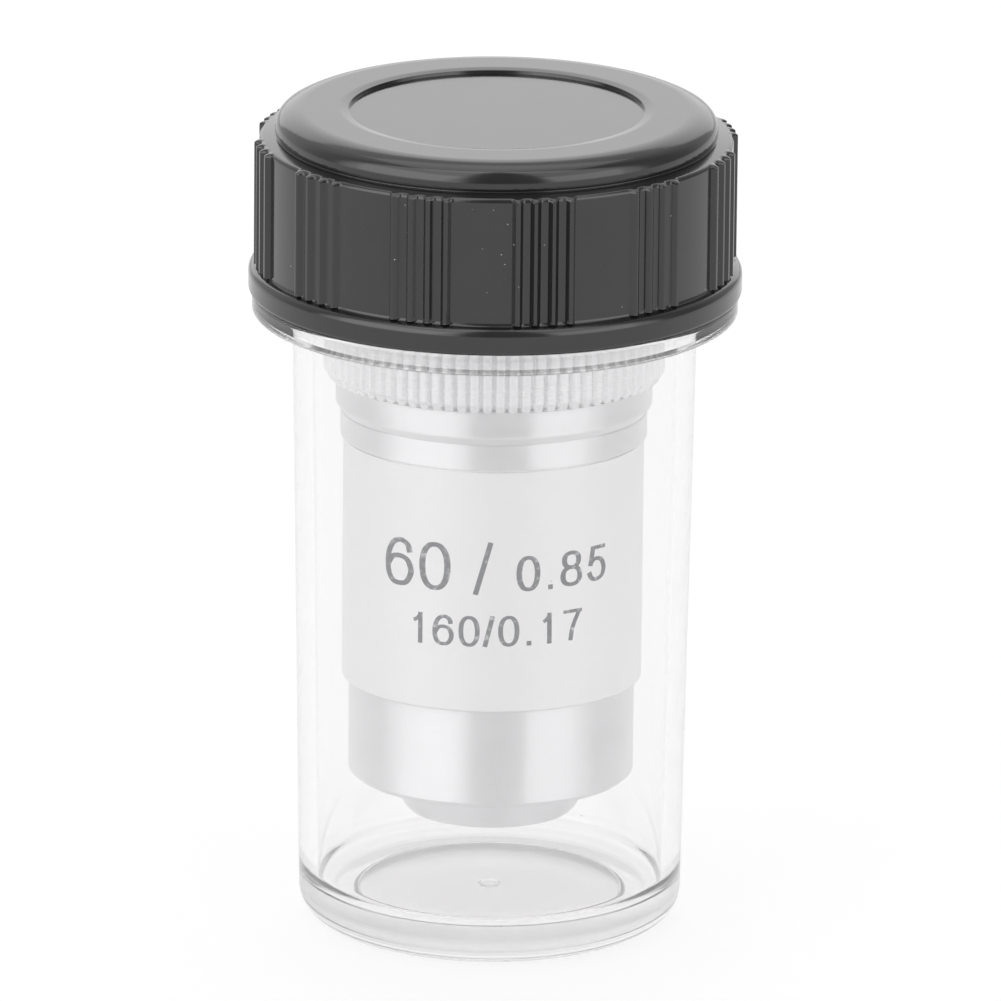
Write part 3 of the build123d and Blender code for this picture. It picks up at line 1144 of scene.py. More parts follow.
@dataclass
class BlackCap:
    """The black screw cap: rim, grip ribs in groups, shoulder, dome and dished top. Sizes in millimetres."""

    skirt_bore: float = 15.35
    skirt_round: float = 0.2
    panel: float = 16.6
    panel_foot: float = 0.25
    rim_height: float = 1.88
    rim_round: float = 0.25
    rim_shoulder: float = 0.6
    shoulder_height: float = 11.12
    shoulder_drop: float = 0.12
    shoulder_round: float = 0.3
    dome: float = 15.5
    dome_round: float = 1.1
    dome_foot: float = 0.22
    dome_foot_round: float = 0.08
    brow_drop: float = 0.65
    brow_width: float = 1.3
    brow_round: float = 3.0
    groove: float = 0.08
    groove_low: float = 0.05
    groove_high: float = 0.15
    crisp: float = 0.03
    dish: float = 10.38
    dish_depth: float = 0.32
    lip_width: float = 0.6
    lip_drop: float = 0.08
    lip_round: float = 2.0
    top_wall: float = 1.2
    hole: float = 10.21
    boss: float = 12.65
    ceiling: float = 13.85
    corner_drop: float = 1.875
    rib_groups: float = 12.0
    ribs: float = 4.0
    rib_step: float = math.radians(4.3)
    first_angle: float = math.radians(-78.3)
    rib_height: float = 0.38
    rib_half_width: float = 0.4
    rib_flat: float = 0.1
    rib_foot: float = 0.3
    rib_head: float = 1.0
    rib_end: float = 0.3
    rib_over: float = 0.02
    rib_depth: float = 0.2
    rib_proud: float = 0.05
    segments: int = 912
    thread: Thread = Thread(3.0, 0.15, 0.6, -0.5, 0.5, phase=0.5)
    thread_low: float = 0.4
    thread_over: float = 0.2
    thread_wall: float = 0.3
    thread_lift: float = 0.01
    thread_segments: int = 144

    def corners(self) -> list[Corner]:
        """Lists the outline.

        Returns:
            The corners from the skirt's bore up the outside, over the top and back down the inside.
        """
        rim = bottom("case_cap")
        peak = top("case_cap")
        widest = reach("case_cap")
        ledge = rim + self.shoulder_height
        collar = rim + self.rim_height
        shoulder = top("mount_body") - MOUNTING_LENGTH
        dish_floor = peak - self.dish_depth
        return [
            Corner(self.skirt_bore, rim, self.skirt_round),
            Corner(widest, rim, self.rim_round),
            Corner(widest, collar, self.rim_shoulder),
            Corner(self.panel, collar, self.panel_foot),
            Corner(self.panel, collar + self.rib_foot),
            Corner(self.panel, ledge - self.rib_head),
            Corner(self.panel, ledge - self.shoulder_drop, self.shoulder_round),
            Corner(self.dome - self.groove, ledge + self.groove_low, self.crisp),
            Corner(self.dome - self.groove, ledge + self.groove_high, self.crisp),
            Corner(self.dome, ledge + self.dome_foot, self.dome_foot_round),
            Corner(self.dome, peak - self.brow_drop, self.dome_round),
            Corner(self.dome - self.brow_width, peak, self.brow_round),
            Corner(self.dish + self.lip_width, peak, self.lip_round),
            Corner(self.dish, peak - self.lip_drop, self.crisp),
            Corner(self.dish, dish_floor, self.crisp),
            Corner(0.0, dish_floor),
            Corner(0.0, dish_floor - self.top_wall),
            Corner(self.hole, dish_floor - self.top_wall),
            Corner(self.hole, shoulder),
            Corner(self.boss, shoulder),
            Corner(self.boss, ledge),
            Corner(self.ceiling, ledge),
            Corner(self.skirt_bore, ledge - self.corner_drop),
        ]

    def build(self, ribs: RibTree, threads: ThreadTree) -> Piece:
        """Builds and dresses the cap, with its ribs and the thread inside its skirt.

        Args:
            ribs: the geometry tree for the grip ribs.
            threads: the geometry tree for the thread.

        Returns:
            The finished cap.
        """
        rim = bottom("case_cap")
        collar = rim + self.rim_height
        ledge = rim + self.shoulder_height
        under = self.panel - self.rib_depth
        rows = [
            Rows(collar, collar + self.rib_foot, under, THREAD_ROWS),
            Rows(ledge - self.rib_head, ledge, under, THREAD_ROWS),
        ]
        piece = Turning("black_cap", self.corners(), self.segments, rows=rows).build()
        sizes = {"Flat": self.rib_flat, "Half Width": self.rib_half_width, "Height": self.rib_height}
        sizes |= {"Low": collar - self.rib_end, "High": ledge + self.rib_over, "End": self.rib_end}
        sizes |= {"Least Radius": under, "Greatest Radius": self.panel + self.rib_proud}
        others = {"Groups": self.rib_groups, "Ribs": self.ribs, "Step": self.rib_step}
        others |= {"First Angle": self.first_angle}
        applied(piece, ribs, BLACK, sizes, others)
        seat(piece, Body.CAP, Slot.BLACK, "case_cap")
        self.inner_thread(threads)
        return piece

    def inner_thread(self, threads: ThreadTree) -> None:
        """Builds the thread inside the skirt, which turns on the neck of the case.

        Args:
            threads: the geometry tree for the thread.
        """
        low = bottom("case_cap") + self.thread_low
        high = top("case_vial") + self.thread_over
        inner, outer = self.skirt_bore - self.thread_lift, self.skirt_bore + self.thread_wall
        corners = [Corner(inner, low), Corner(inner, high), Corner(outer, high), Corner(outer, low)]
        rows = [Rows(low, high, self.skirt_bore - TOUCH, THREAD_ROWS)]
        piece = Turning("cap_thread", corners, self.thread_segments, rows=rows).build()
        radii = (self.skirt_bore - TOUCH, self.skirt_bore + TOUCH)
        self.thread.cut(piece, threads, BLACK, (low + TOUCH, high - TOUCH), radii)
        seat(piece, Body.CAP, Slot.BLACK)


@dataclass
class TurnedBody:
    """The turned metal body: mounting thread, knurled collar and two polished rings. Sizes in millimetres."""

    thread_core: float = 9.72
    thread: Thread = Thread(25.4 / 36, 0.05, 0.3, 10.16 - 9.72, 0.3)
    thread_under: float = 0.1
    thread_gap: float = 0.02
    thread_wall: float = 0.2
    thread_bevel: float = 0.15
    thread_spacing: float = 0.075
    thread_segments: int = 96
    rear_bore: float = 9.1
    band: float = 11.3
    band_height: float = 4.8
    band_round: float = 0.1
    collar: float = 12.0
    collar_height: float = 7.68
    collar_bevel: float = 0.32
    collar_foot: float = 0.62
    collar_depth: float = 0.5
    collar_spacing: float = 1.0
    upper_ring: float = 11.14
    bevel_height: float = 0.57
    bevel_drop: float = 0.12
    bevel_round: float = 0.3
    crisp: float = 0.05
    neat: float = 0.04
    line: float = 0.03
    lower_ring: float = 10.8
    lower_ring_height: float = 2.01
    lower_ring_round: float = 0.08
    spigot: float = 10.11
    spigot_length: float = 4.84
    spigot_round: float = 0.1
    guide_bore: float = 8.05
    ledge_height: float = 2.16
    teeth: int = 84
    groove_depth: float = 0.24
    groove_half_width: float = 0.23
    groove_flat: float = 0.02
    groove_over: float = 0.02
    groove_end: float = 0.01
    groove_start: float = 0.9
    facets_per_tooth: int = 13

    def corners(self) -> list[Corner]:
        """Lists the outline.

        Returns:
            The corners from the top of the rear bore down the outside and up the inside.
        """
        joint = top("outer_sleeve")
        end = top("mount_body")
        shoulder = end - MOUNTING_LENGTH
        collar_top = shoulder - self.band_height
        collar_low = collar_top - self.collar_height
        bevel_top = joint + self.lower_ring_height + self.bevel_height - self.bevel_drop
        bevel_low = bevel_top - self.bevel_height
        edge = self.collar_bevel
        return [
            Corner(self.rear_bore, end),
            Corner(self.thread_core - self.thread_under, end),
            Corner(self.thread_core - self.thread_under, shoulder),
            Corner(self.band, shoulder, self.band_round),
            Corner(self.band, collar_top, self.crisp),
            Corner(self.collar - edge, collar_top, self.crisp),
            Corner(self.collar, collar_top - edge, self.crisp),
            Corner(self.collar, collar_low + self.collar_foot, self.crisp),
            Corner(self.collar - edge, collar_low, self.crisp),
            Corner(self.upper_ring, collar_low, self.neat),
            Corner(self.upper_ring, bevel_top, self.bevel_round),
            Corner(self.lower_ring - self.line, bevel_low),
            Corner(self.lower_ring - self.line, bevel_low - self.line),
            Corner(self.lower_ring, bevel_low - self.line),
            Corner(self.lower_ring, joint, self.lower_ring_round),
            Corner(self.spigot, joint),
            Corner(self.spigot, joint - self.spigot_length, self.spigot_round),
            Corner(self.guide_bore, joint - self.spigot_length, self.spigot_round),
            Corner(self.guide_bore, joint + self.ledge_height),
            Corner(self.rear_bore, joint + self.ledge_height),
        ]

    def build(self, grooves: GrooveTree, threads: ThreadTree) -> None:
        """Builds and dresses the body and its mounting thread.

        Args:
            grooves: the geometry tree for the knurl's grooves.
            threads: the geometry tree for the mounting thread.
        """
        collar_top = top("mount_body") - MOUNTING_LENGTH - self.band_height
        collar_low = collar_top - self.collar_height
        rows = [Rows(collar_low, collar_top, self.collar - self.collar_depth, self.collar_spacing)]
        segments = self.teeth * self.facets_per_tooth
        piece = Turning("knurled_body", self.corners(), segments, rows=rows).build()
        sizes = {"Flat": self.groove_flat, "Half Width": self.groove_half_width, "Height": -self.groove_depth}
        sizes |= {"Low": collar_low - self.groove_over, "High": collar_top + self.groove_over}
        sizes |= {"End": self.groove_end, "Least Radius": self.collar - self.groove_start * self.collar_bevel}
        sizes |= {"Greatest Radius": self.collar + TOUCH}
        others = {"Groups": float(self.teeth), "Ribs": 1.0, "Step": 1.0, "First Angle": 0.0}
        applied(piece, grooves, POLISHED, sizes, others)
        self.dress_collar(piece, collar_low, collar_top)
        seat(piece, Body.OBJECTIVE, Slot.POLISHED, "mount_body")
        self.mounting_thread(threads)

    def dress_collar(self, piece: Piece, low: float, high: float) -> None:
        """Gives the knurled collar its own rougher finish.

        Args:
            piece: the finished body.
            low: the collar's lowest place, in millimetres.
            high: its highest place, in millimetres.
        """
        piece.data.materials.append(KNURLED.make())
        for polygon in piece.data.polygons:
            place = polygon.center
            wide = math.hypot(place.x, place.y) > (self.upper_ring + self.crisp) * MM
            if wide and low * MM - AXIS_TOUCH < place.z < high * MM:
                polygon.material_index = 1

    def mounting_thread(self, threads: ThreadTree) -> None:
        """Builds the fine thread that the microscope or the cap takes.

        Args:
            threads: the geometry tree for the thread.
        """
        end = top("mount_body")
        low, high = end - MOUNTING_LENGTH, end - self.thread_gap
        inner = self.rear_bore + self.thread_wall
        corners = [
            Corner(inner, low + self.thread_gap),
            Corner(self.thread_core, low + self.thread_gap),
            Corner(self.thread_core, high, self.thread_bevel),
            Corner(inner, high),
        ]
        rows = [Rows(low, end, self.thread_core - self.thread_wall, self.thread_spacing)]
        piece = Turning("mounting_thread", corners, self.thread_segments, rows=rows).build()
        ends = (low + self.thread.run_out, end - self.thread_wall)
        radii = (self.thread_core - TOUCH / 2, self.thread_core + self.thread.height)
        self.thread.cut(piece, threads, POLISHED, ends, radii)
        seat(piece, Body.OBJECTIVE, Slot.POLISHED)


class WrapTree(PieceTree):
    """Bends a flat pattern round the axis, with its own x as the way round and its y as the height."""

    name = "wrapped_round_axis"
    floats = ("Radius",)

    def geometry(self, graph: Graph, given: Sockets) -> Socket:
        """Bends the pattern.

        Args:
            graph: the tree being filled.
            given: the tree's inputs by name.

        Returns:
            The bent pattern.
        """
        x, y, z = self.position(graph)
        turn = graph.maths("DIVIDE", x, given["Radius"])
        out = graph.maths("ADD", z, given["Radius"])
        across = graph.maths("MULTIPLY", out, graph.maths("SINE", turn))
        facing = graph.maths("MULTIPLY", graph.maths("COSINE", turn), -1.0)
        bent = graph.joined(across, graph.maths("MULTIPLY", out, facing), y)
        inputs = {"Geometry": given["Geometry"], "Position": bent}
        return graph.node("GeometryNodeSetPosition", inputs).outputs[0]


@dataclass(frozen=True)
class Stroke:
    """One engraved line of a numeral, by points in a box that is one wide and one high."""

    points: tuple[Point, ...]
    curved: bool = False
    closed: bool = False


SQUARENESS = 2.3
LOOP_POINTS = 20


def loop(middle: Point, size: Point) -> Stroke:
    """Makes a rounded closed stroke.

    Args:
        middle: its middle in the numeral's box.
        size: half its width and half its height.

    Returns:
        The stroke.
    """
    points: list[Point] = []
    for step in range(LOOP_POINTS):
        turn = math.tau * step / LOOP_POINTS
        across, up = math.cos(turn), math.sin(turn)
        x = middle[0] + size[0] * math.copysign(abs(across) ** (2 / SQUARENESS), across)
        y = middle[1] + size[1] * math.copysign(abs(up) ** (2 / SQUARENESS), up)
        points.append((x, y))
    return Stroke(tuple(points), curved=True, closed=True)


NUMERALS: dict[str, tuple[Stroke, ...]] = {
    "0": (loop((0.5, 0.5), (0.5, 0.5)),),
    "1": (
        Stroke(((0.9, 0.0), (0.9, 1.0))),
        Stroke(((0.9, 0.96), (0.5, 0.83), (0.0, 0.75)), curved=True),
    ),
    "5": (
        Stroke(((0.94, 1.0), (0.25, 1.0))),
        Stroke(((0.25, 0.98), (0.1, 0.5))),
        Stroke(
            ((0.08, 0.5), (0.28, 0.62), (0.52, 0.65), (0.83, 0.57), (1.0, 0.33), (0.87, 0.09), (0.5, 0.0),
             (0.16, 0.06), (0.0, 0.25)),
            curved=True,
        ),
    ),
    "6": (
        Stroke(
            ((0.95, 0.74), (0.85, 0.92), (0.55, 1.0), (0.24, 0.91), (0.05, 0.68), (0.0, 0.42), (0.06, 0.18),
             (0.24, 0.03), (0.52, 0.0), (0.82, 0.06), (1.0, 0.3), (0.86, 0.55), (0.54, 0.63), (0.22, 0.58),
             (0.04, 0.42)),
            curved=True,
        ),
    ),
    "7": (
        Stroke(((0.0, 1.0), (1.0, 1.0))),
        Stroke(((0.98, 1.02), (0.68, 0.68), (0.46, 0.34), (0.35, -0.06)), curved=True),
    ),
    "8": (
        loop((0.5, 0.77), (0.42, 0.23)),
        loop((0.5, 0.27), (0.5, 0.27)),
    ),
    "/": (Stroke(((0.0, 0.0), (1.0, 1.0))),),
    ".": (Stroke(((0.5, 0.0), (0.5, 0.0))),),
}


@dataclass(frozen=True)
class Inscription:
    """One run of plain numbers: each with its two ends round the sleeve. Sizes in millimetres."""

    baseline: float
    height: float
    upright: float
    level: float
    numerals: tuple[tuple[str, float, float], ...]


@dataclass
class Sleeve:
    """The satin sleeve with its etched optical numbers. Sizes in millimetres."""

    radius: float = 10.58
    bore: float = 10.13
    edge: float = 0.12
    seam: float = 0.08
    seam_drop: float = 0.16
    ink_depth: float = 0.03
    ink_proud: float = 0.006
    rise: float = 0.018
    step: float = 0.12
    segments: int = 256
    inscriptions: tuple[Inscription, ...] = (
        Inscription(26.98, 3.50, 0.45, 0.34, (("6", -7.97, -5.58), ("0", -5.15, -2.87))),
        Inscription(26.80, 3.84, 0.36, 0.36, (("/", -1.28, 0.02),)),
        Inscription(
            26.98, 2.58, 0.39, 0.27,
            (("0", 1.64, 3.30), (".", 3.87, 4.21), ("8", 4.77, 6.48), ("5", 6.87, 8.58)),
        ),
        Inscription(
            23.01, 2.25, 0.33, 0.24,
            (("1", -5.71, -4.82), ("6", -4.13, -2.60), ("0", -2.28, -0.82), ("/", -0.61, 0.19),
             ("0", 0.43, 1.88), (".", 2.39, 2.72), ("1", 3.39, 4.21), ("7", 5.03, 6.49)),
        ),
    )

    def build(self) -> None:
        """Builds and dresses the sleeve and its numbers."""
        low, high = bottom("outer_sleeve"), top("outer_sleeve")
        step, inner = high - self.seam_drop, self.radius - self.seam
        corners = [
            Corner(self.bore, low),
            Corner(self.radius, low, self.edge),
            Corner(self.radius, step),
            Corner(inner, step),
            Corner(inner, high),
            Corner(self.bore, high),
        ]
        piece = Turning("satin_sleeve", corners, self.segments).build()
        dress(piece, SATIN)
        seat(piece, Body.OBJECTIVE, Slot.SATIN, "outer_sleeve")
        wrap = WrapTree()
        for number, inscription in enumerate(self.inscriptions, 1):
            self.etch(f"etched_numbers_{number}", inscription, wrap)

    def path(self, stroke: Stroke, place: Point, size: Point, inscription: Inscription) -> list[Vector]:
        """Lays a stroke's middle line on the flat pattern, with points a short step apart.

        Args:
            stroke: the stroke.
            place: the lower left corner of the numeral's box.
            size: the box's width and height.
            inscription: the run of numbers, with its widths.

        Returns:
            The points in order.
        """
        points = [Vector((place[0] + x * size[0], place[1] + y * size[1])) for x, y in stroke.points]
        if not stroke.curved:
            way = (points[-1] - points[0]).normalized()
            spare = way * math.hypot(inscription.level * way.y, inscription.upright * way.x) / 2
            points[0] -= spare
            points[-1] += spare
        count = len(points)
        spans = count if stroke.closed else count - 1
        result: list[Vector] = []
        for index in range(spans):
            here, ahead = points[index], points[(index + 1) % count]
            back = points[index - 1] if index > 0 or stroke.closed else here
            beyond = points[(index + 2) % count] if index + 2 < count or stroke.closed else ahead
            steps = max(1, math.ceil((ahead - here).length / self.step))
            for part in range(steps):
                share = part / steps
                if not stroke.curved:
                    result.append(here.lerp(ahead, share))
                    continue
                square, cube = share * share, share * share * share
                bend = 2 * here + (ahead - back) * share
                bend += (2 * back - 5 * here + 4 * ahead - beyond) * square
                bend += (3 * here - back - 3 * ahead + beyond) * cube
                result.append(bend / 2)
        if not stroke.closed:
            result.append(points[-1])
        return result

    def ribbon(self, path: list[Vector], closed: bool, inscription: Inscription) -> list[list[Vector]]:
        """Widens a stroke's middle line, more where it stands upright than where it lies level.

        Args:
            path: the middle line.
            closed: whether it comes back to its start.
            inscription: the run of numbers, with its widths.

        Returns:
            Four-cornered tiles that cover the stroke.
        """
        last = len(path) - 1
        sides: list[tuple[Vector, Vector]] = []
        for index, point in enumerate(path):
            ahead = path[(index + 1) % len(path)] if closed else path[min(index + 1, last)]
            back = path[index - 1] if closed or index > 0 else path[0]
            way = (ahead - back).normalized()
            half = math.hypot(inscription.upright * way.y, inscription.level * way.x) / 2
            across = Vector((-way.y, way.x)) * half
            sides.append((point + across, point - across))
        ends = sides + sides[:1] if closed else sides
        return [[a, b, d, c] for (a, b), (c, d) in zip(ends, ends[1:])]

    def tiles(self, inscription: Inscription) -> list[list[Vector]]:
        """Lists the flat tiles of a whole run of numbers.

        Args:
            inscription: the run of numbers.

        Returns:
            The tiles, which may overlap where strokes meet.
        """
        upright, level = inscription.upright, inscription.level
        tiles: list[list[Vector]] = []
        for numeral, left, right in inscription.numerals:
            base = inscription.baseline + self.rise * (left + right) / 2
            if numeral == ".":
                head = base + right - left
                corners = ((left, base), (right, base), (right, head), (left, head))
                tiles.append([Vector(corner) for corner in corners])
                continue
            place = (left + upright / 2, base + level / 2)
            size = (right - left - upright, inscription.height - level)
            for stroke in NUMERALS[numeral]:
                path = self.path(stroke, place, size, inscription)
                tiles += self.ribbon(path, stroke.closed, inscription)
        for tile in tiles:
            for corner in tile:
                corner.y += self.rise * (corner.x - (tile[0].x + tile[2].x) / 2)
        return tiles

    def etch(self, name: str, inscription: Inscription, wrap: WrapTree) -> None:
        """Lays one run of numbers round the sleeve, facing -Y.

        Args:
            name: the piece's name.
            inscription: the numbers and their place.
            wrap: the geometry tree that bends them round the sleeve.
        """
        tiles = self.tiles(inscription)
        corners = [corner for tile in tiles for corner in tile]
        loops = [list(range(4 * index, 4 * index + 4)) for index in range(len(tiles))]
        flat = delaunay_2d_cdt(corners, [], loops, 1, FLAT_MERGE)
        places, faces, owners = flat[0], flat[2], flat[5]
        inked = [face for face, owner in zip(faces, owners) if owner]
        mesh = bpy.data.meshes.new(name)
        mesh.from_pydata([(x * MM, y * MM, -self.ink_depth * MM) for x, y in places], [], inked)
        shape = bmesh.new()
        shape.from_mesh(mesh)
        loose = [vert for vert in shape.verts if not vert.link_faces]
        bmesh.ops.delete(shape, geom=loose, context="VERTS")
        raised = bmesh.ops.extrude_face_region(shape, geom=shape.faces[:], use_keep_orig=True)
        for vert in (item for item in raised["geom"] if isinstance(item, bmesh.types.BMVert)):
            vert.co.z += (self.ink_depth + self.ink_proud) * MM
        shape.to_mesh(mesh)
        shape.free()
        piece = finished(name, mesh)
        applied(piece, wrap, INK, {"Radius": self.radius}, {})
        seat(piece, Body.OBJECTIVE, Slot.BLACKENED)


@dataclass
class SprungNose:
    """The polished lower barrel on its stem, and the bevelled front ring. Sizes in millimetres."""

    barrel: float = 10.08
    barrel_edge: float = 0.4
    stem: float = 8.0
    head_top: float = 22.0
    bore: float = 6.52
    ring_base: float = 7.45
    ring_face: float = 6.1
    ring_height: float = 2.69
    seam: float = 0.22
    cell: float = 5.58
    hole: float = 1.45
    lens_seat: float = 0.5
    lens_rise: float = 1.6
    lens_bore: float = 1.72
    back_bore: float = 3.2
    crisp: float = 0.03
    neat: float = 0.05
    barrel_low_round: float = 0.04
    barrel_high_round: float = 0.06
    shoulder_round: float = 0.1
    hole_round: float = 0.08
    barrel_segments: int = 256
    ring_segments: int = 224

    def build(self) -> None:
        """Builds and dresses the barrel and the front ring."""
        low, stem_top = bottom("nose_barrel"), top("nose_barrel")
        barrel = [
            Corner(self.bore, low),
            Corner(self.barrel - self.barrel_edge, low, self.barrel_low_round),
            Corner(self.barrel, low + self.barrel_edge, self.barrel_high_round),
            Corner(self.barrel, self.head_top, self.shoulder_round),
            Corner(self.stem, self.head_top),
            Corner(self.stem, stem_top, self.shoulder_round),
            Corner(self.bore, stem_top, self.shoulder_round),
        ]
        face, back = bottom("front_lens_cell"), top("front_lens_cell")
        base = face + self.ring_height
        seat_z = face + self.lens_seat
        ring = [
            Corner(self.hole, face, self.hole_round),
            Corner(self.ring_face - self.seam, face, self.crisp),
            Corner(self.ring_face, face + self.seam, self.crisp),
            Corner(self.ring_base, base - self.seam, self.neat),
            Corner(self.ring_base - self.seam, base - self.seam),
            Corner(self.ring_base - self.seam, base),
            Corner(self.cell, base),
            Corner(self.cell, back),
            Corner(self.back_bore, back),
            Corner(self.lens_bore, seat_z + self.lens_rise),
            Corner(self.lens_bore, seat_z),
            Corner(self.hole, seat_z),
        ]
        plan = (
            ("polished_barrel", barrel, self.barrel_segments, "nose_barrel"),
            ("front_ring", ring, self.ring_segments, "front_lens_cell"),
        )
        for name, corners, segments, node in plan:
            piece = Turning(name, corners, segments).build()
            dress(piece, POLISHED)
            seat(piece, Body.NOSE, Slot.POLISHED, node)


class CoilTree(PieceTree):
    """A round-wire compression spring whose two end turns lie closed."""

    name = "coil_spring"
    floats = ("Radius", "Wire Radius", "Bottom", "Length", "Turns")
    points_each_turn = 48
    points_round_wire = 14
    closed_wires = 3.0

    def geometry(self, graph: Graph, given: Sockets) -> Socket:
        """Winds the spring.

        Args:
            graph: the tree being filled.
            given: the tree's inputs by name.

        Returns:
            The spring.
        """
        radius, wire, low, length, turns = (given[label] for label in self.floats)
        plan = {"Resolution": self.points_each_turn, "Height": 0.0, "Rotations": turns}
        plan |= {"Start Radius": radius, "End Radius": radius}
        spiral = graph.node("GeometryNodeCurveSpiral", plan).outputs[0]
        x, y, _ = self.position(graph)
        wound = graph.maths("MULTIPLY", graph.add("GeometryNodeSplineParameter").outputs["Factor"], turns)
        thick = graph.maths("MULTIPLY", wire, 2.0)
        last = graph.maths("SUBTRACT", turns, 1.0)
        open_rise = graph.maths("SUBTRACT", length, graph.maths("MULTIPLY", thick, self.closed_wires))
        height = graph.maths("ADD", low, wire)
        for first, end, rise in ((0.0, 1.0, thick), (1.0, last, open_rise), (last, turns, thick)):
            height = graph.maths("ADD", height, graph.ramp(wound, first, end, 0.0, rise, smooth=False))
        wound_up = {"Geometry": spiral, "Position": graph.joined(x, y, height)}
        line = graph.node("GeometryNodeSetPosition", wound_up).outputs[0]
        round_wire = {"Resolution": self.points_round_wire, "Radius": wire}
        ring = graph.node("GeometryNodeCurvePrimitiveCircle", round_wire).outputs[0]
        skin = {"Curve": line, "Profile Curve": ring, "Fill Caps": True}
        return graph.node("GeometryNodeCurveToMesh", skin).outputs[0]


@dataclass
class ReturnSpring:
    """The round-wire spring that pushes the nose down and shortens as it retracts. Sizes in millimetres."""

    wire: float = 0.7
    turns: float = 6.0
    travel: float = 2.0

    def build(self) -> None:
        """Builds and dresses the spring."""
        low, high = bottom("spring"), top("spring")
        piece = linked("coil_spring", bpy.data.meshes.new("coil_spring"))
        sizes = {"Radius": reach("spring") - self.wire / 2, "Wire Radius": self.wire / 2}
        sizes |= {"Bottom": low, "Length": high - low}
        applied(piece, CoilTree(), STEEL, sizes, {"Turns": self.turns})
        seat(piece, Body.OBJECTIVE, Slot.STEEL, "spring")
        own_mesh(piece)


class InnerPieces:
    """The finishes of the solids that stay inside."""

    finishes: dict[str, Finish] = {
        "guide_screw": STEEL,
        "rear_diaphragm": BLACKENED,
        "stop_ring": BRASS,
        "lens_tube": BRASS,
        "second_cell": BRASS,
        "middle_cell": BRASS,
        "rear_cell": BRASS,
        "lens_lock_ring": BLACKENED,
        "front_lens": CROWN,
        "second_lens": CROWN,
        "middle_crown_lens": CROWN,
        "middle_flint_lens": FLINT,
        "rear_crown_lens": CROWN,
        "rear_flint_lens": FLINT,
    }

    def build(self) -> None:
        """Dresses each inner solid."""
        for node, finish in self.finishes.items():
            dress(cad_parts[node], finish)
            LOG.info("%s: dressed in %s", node, finish.name)


@dataclass(frozen=True)
class Scatter:
    """Where specks lie. Lengths in millimetres, density for each square metre."""

    name: str
    finish: Finish
    body: Body
    slot: Slot
    density: float
    seed: int
    least_radius: float
    low: float
    high: float


@dataclass
class Specks:
    """The few specks of dust that the photo shows. Lengths in millimetres, from the cap's rim or the foot."""

    radius: float = 0.042
    cap_start: float = 2.0
    cap_end: float = 11.0
    case_margin: float = 3.0

    def scatter(self, host: Piece, tree: SpeckTree, plan: Scatter) -> None:
        """Scatters specks over one piece.

        Args:
            host: the piece whose surface is used.
            tree: the geometry tree.
            plan: where the specks lie, and what they look like.
        """
        piece = linked(plan.name, host.data.copy())
        sizes = {"Radius": self.radius, "Least Radius": plan.least_radius, "Low": plan.low, "High": plan.high}
        applied(piece, tree, plan.finish, sizes, {"Density": plan.density, "Seed": plan.seed})
        seat(piece, plan.body, plan.slot)

    def build(self, cap: Piece, case: Piece) -> None:
        """Scatters pale specks on the cap and dark ones on the case.

        Args:
            cap: the black cap.
            case: the clear case.
        """
        tree = SpeckTree()
        rim = bottom("case_cap")
        on_cap = Scatter(
            "cap_specks", PALE_DUST, Body.CAP, Slot.BLACK, density=42000.0, seed=7, least_radius=16.3,
            low=rim + self.cap_start, high=rim + self.cap_end,
        )
        on_case = Scatter(
            "case_specks", DARK_DUST, Body.CASE, Slot.CLEAR, density=6000.0, seed=3, least_radius=13.0,
            low=self.case_margin, high=rim - self.case_margin,
        )
        self.scatter(cap, tree, on_cap)
        self.scatter(case, tree, on_case)


@dataclass(frozen=True)
class Softbox:
    """One soft lamp: its name, place, width, height and power, and whether it shines through the case."""

    name: str
    place: tuple[float, float, float]
    wide: float
    tall: float
    power: float
    through_case: bool = True

    def hang(self, target: Vector) -> None:
        """Hangs the lamp, turned to a place.

        Args:
            target: the place that it lights.
        """
        lamp = bpy.data.lights.new(self.name, "AREA")
        lamp.shape = "RECTANGLE"
        lamp.size = self.wide
        lamp.size_y = self.tall
        lamp.energy = self.power
        piece = linked(self.name, lamp)
        piece.location = self.place
        piece.rotation_euler = (target - piece.location).to_track_quat("-Z", "Y").to_euler()
        piece.visible_camera = False
        piece.visible_transmission = self.through_case


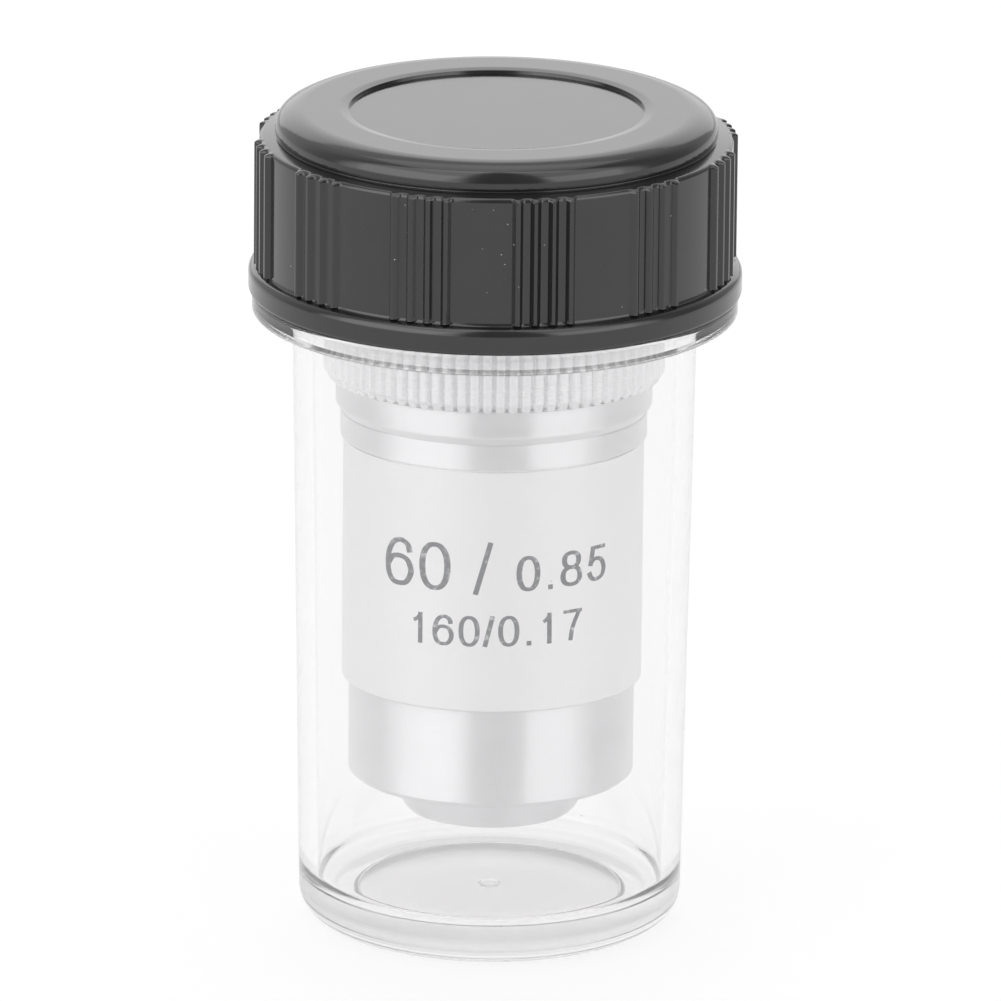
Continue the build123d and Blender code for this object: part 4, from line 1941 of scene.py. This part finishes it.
@dataclass
class Studio:
    """The plain white studio, with the photo's camera. Lengths in metres, angles in degrees."""

    distance: float = 1.0
    camera_height: float = 0.3319
    pitch: float = 16.78
    roll: float = 0.56
    yaw: float = 0.03
    focal_pixels: float = 14831.0
    frame_pixels: float = 1001.0
    sensor: float = 36.0
    floor_size: float = 12.0
    floor_drop: float = 0.00002
    target: tuple[float, float, float] = (0.0, 0.0, 0.03)
    softboxes: tuple[Softbox, ...] = (
        Softbox("left_softbox", (-0.82, -0.67, 0.55), 1.1, 0.9, 2.6),
        Softbox("right_softbox", (0.88, -0.76, 0.5), 0.9, 0.8, 1.8),
        Softbox("back_softbox", (0.0, 1.3, 0.55), 1.6, 0.9, 3.5, through_case=False),
        Softbox("top_softbox", (0.0, 0.25, 1.2), 1.0, 1.0, 2.2),
    )
    ambient: float = 0.62
    room_stops: tuple[tuple[float, float], ...] = (
        (-180.0, 0.78), (-125.0, 0.80), (-106.0, 0.6), (-94.0, 0.5), (-82.0, 1.8), (-22.0, 2.0),
        (-12.0, 0.35), (-3.0, 0.2), (22.0, 0.25), (29.0, 1.5), (76.0, 1.6), (88.0, 0.35),
        (104.0, 0.3), (140.0, 0.6), (180.0, 0.78),
    )
    brightest: float = 2.5
    case_level: float = 0.92
    case_share: float = 0.55
    light_bounces: int = 64

    def build(self) -> None:
        """Builds the floor, the lamps, the world and the camera."""
        self.floor()
        for softbox in self.softboxes:
            softbox.hang(Vector(self.target))
        self.world()
        self.camera()
        light = bpy.context.scene.cycles
        for kind in ("max_bounces", "transmission_bounces", "transparent_max_bounces"):
            setattr(light, kind, self.light_bounces)

    def floor(self) -> None:
        """Lays the pale floor."""
        half = self.floor_size / 2
        corners = [(x * half, y * half, 0) for x, y in ((-1, -1), (1, -1), (1, 1), (-1, 1))]
        mesh = bpy.data.meshes.new("floor")
        mesh.from_pydata(corners, [], [(0, 1, 2, 3)])
        mesh.transform(Matrix.Translation((0, 0, -self.floor_drop)))
        piece = linked("floor", mesh)
        dress(piece, PAPER)

    def world(self) -> None:
        """Fills the room with even light, and shows white where it is seen."""
        world = bpy.data.worlds.new("white_room")
        world.use_nodes = True
        world.node_tree.nodes.clear()
        graph = Graph(world.node_tree)
        path = graph.add("ShaderNodeLightPath").outputs
        room = self.room_level(graph)
        through_case = graph.mixed(self.case_share, self.case_level, room)
        level = graph.mixed(path["Is Glossy Ray"], self.ambient, room)
        level = graph.mixed(path["Is Transmission Ray"], level, through_case)
        level = graph.mixed(path["Is Camera Ray"], level, 1.0)
        background = graph.node("ShaderNodeBackground", {"Color": opaque(WHITE), "Strength": level})
        graph.node("ShaderNodeOutputWorld", {"Surface": background.outputs[0]})
        bpy.context.scene.world = world

    def room_level(self, graph: Graph) -> Socket:
        """Gives how bright the room is by the way round the object, as its metal reflects it.

        Args:
            graph: the world's node tree.

        Returns:
            The brightness.
        """
        x, y, _ = graph.split(graph.add("ShaderNodeTexCoord").outputs["Generated"])
        turn = graph.maths("ARCTAN2", x, graph.maths("MULTIPLY", y, -1.0))
        share = graph.ramp(turn, -math.pi, math.pi, 0.0, 1.0, smooth=False)
        curve = graph.add("ShaderNodeValToRGB")
        curve.color_ramp.interpolation = "EASE"
        stops = curve.color_ramp.elements
        for index, (angle, level) in enumerate(self.room_stops):
            place = angle / 360.0 + 0.5
            stop = stops[index] if index < 2 else stops.new(place)
            stop.position = place
            grey = level / self.brightest
            stop.color = opaque((grey, grey, grey))
        graph.feed(curve.inputs[0], share)
        return graph.maths("MULTIPLY", curve.outputs[0], self.brightest)

    def camera(self) -> None:
        """Sets the camera that the photo was taken with, as fitted to its edges."""
        data = bpy.data.cameras.new("camera")
        data.sensor_width = self.sensor
        data.lens = self.focal_pixels / self.frame_pixels * self.sensor
        piece = linked("camera", data)
        turn = Matrix.Rotation(math.radians(-self.yaw), 4, "Z")
        tilt = Matrix.Rotation(math.radians(90.0 - self.pitch), 4, "X")
        lean = Matrix.Rotation(math.radians(self.roll), 4, "Z")
        place = Matrix.Translation((0.0, -self.distance, self.camera_height))
        piece.matrix_world = place @ turn @ tilt @ lean
        bpy.context.scene.camera = piece


def main() -> None:
    """Builds every sub-assembly in order."""
    logging.basicConfig(level=logging.INFO, format="%(name)s: %(message)s")
    bpy.context.scene.view_settings.view_transform = "Standard"
    ribs, threads = RibTree(), ThreadTree()
    case = ClearCase().build(threads)
    cap = BlackCap().build(ribs, threads)
    TurnedBody().build(GrooveTree(), threads)
    Sleeve().build()
    SprungNose().build()
    ReturnSpring().build()
    InnerPieces().build()
    Specks().build(cap, case)
    Studio().build()


if __name__ == "__main__":
    main()
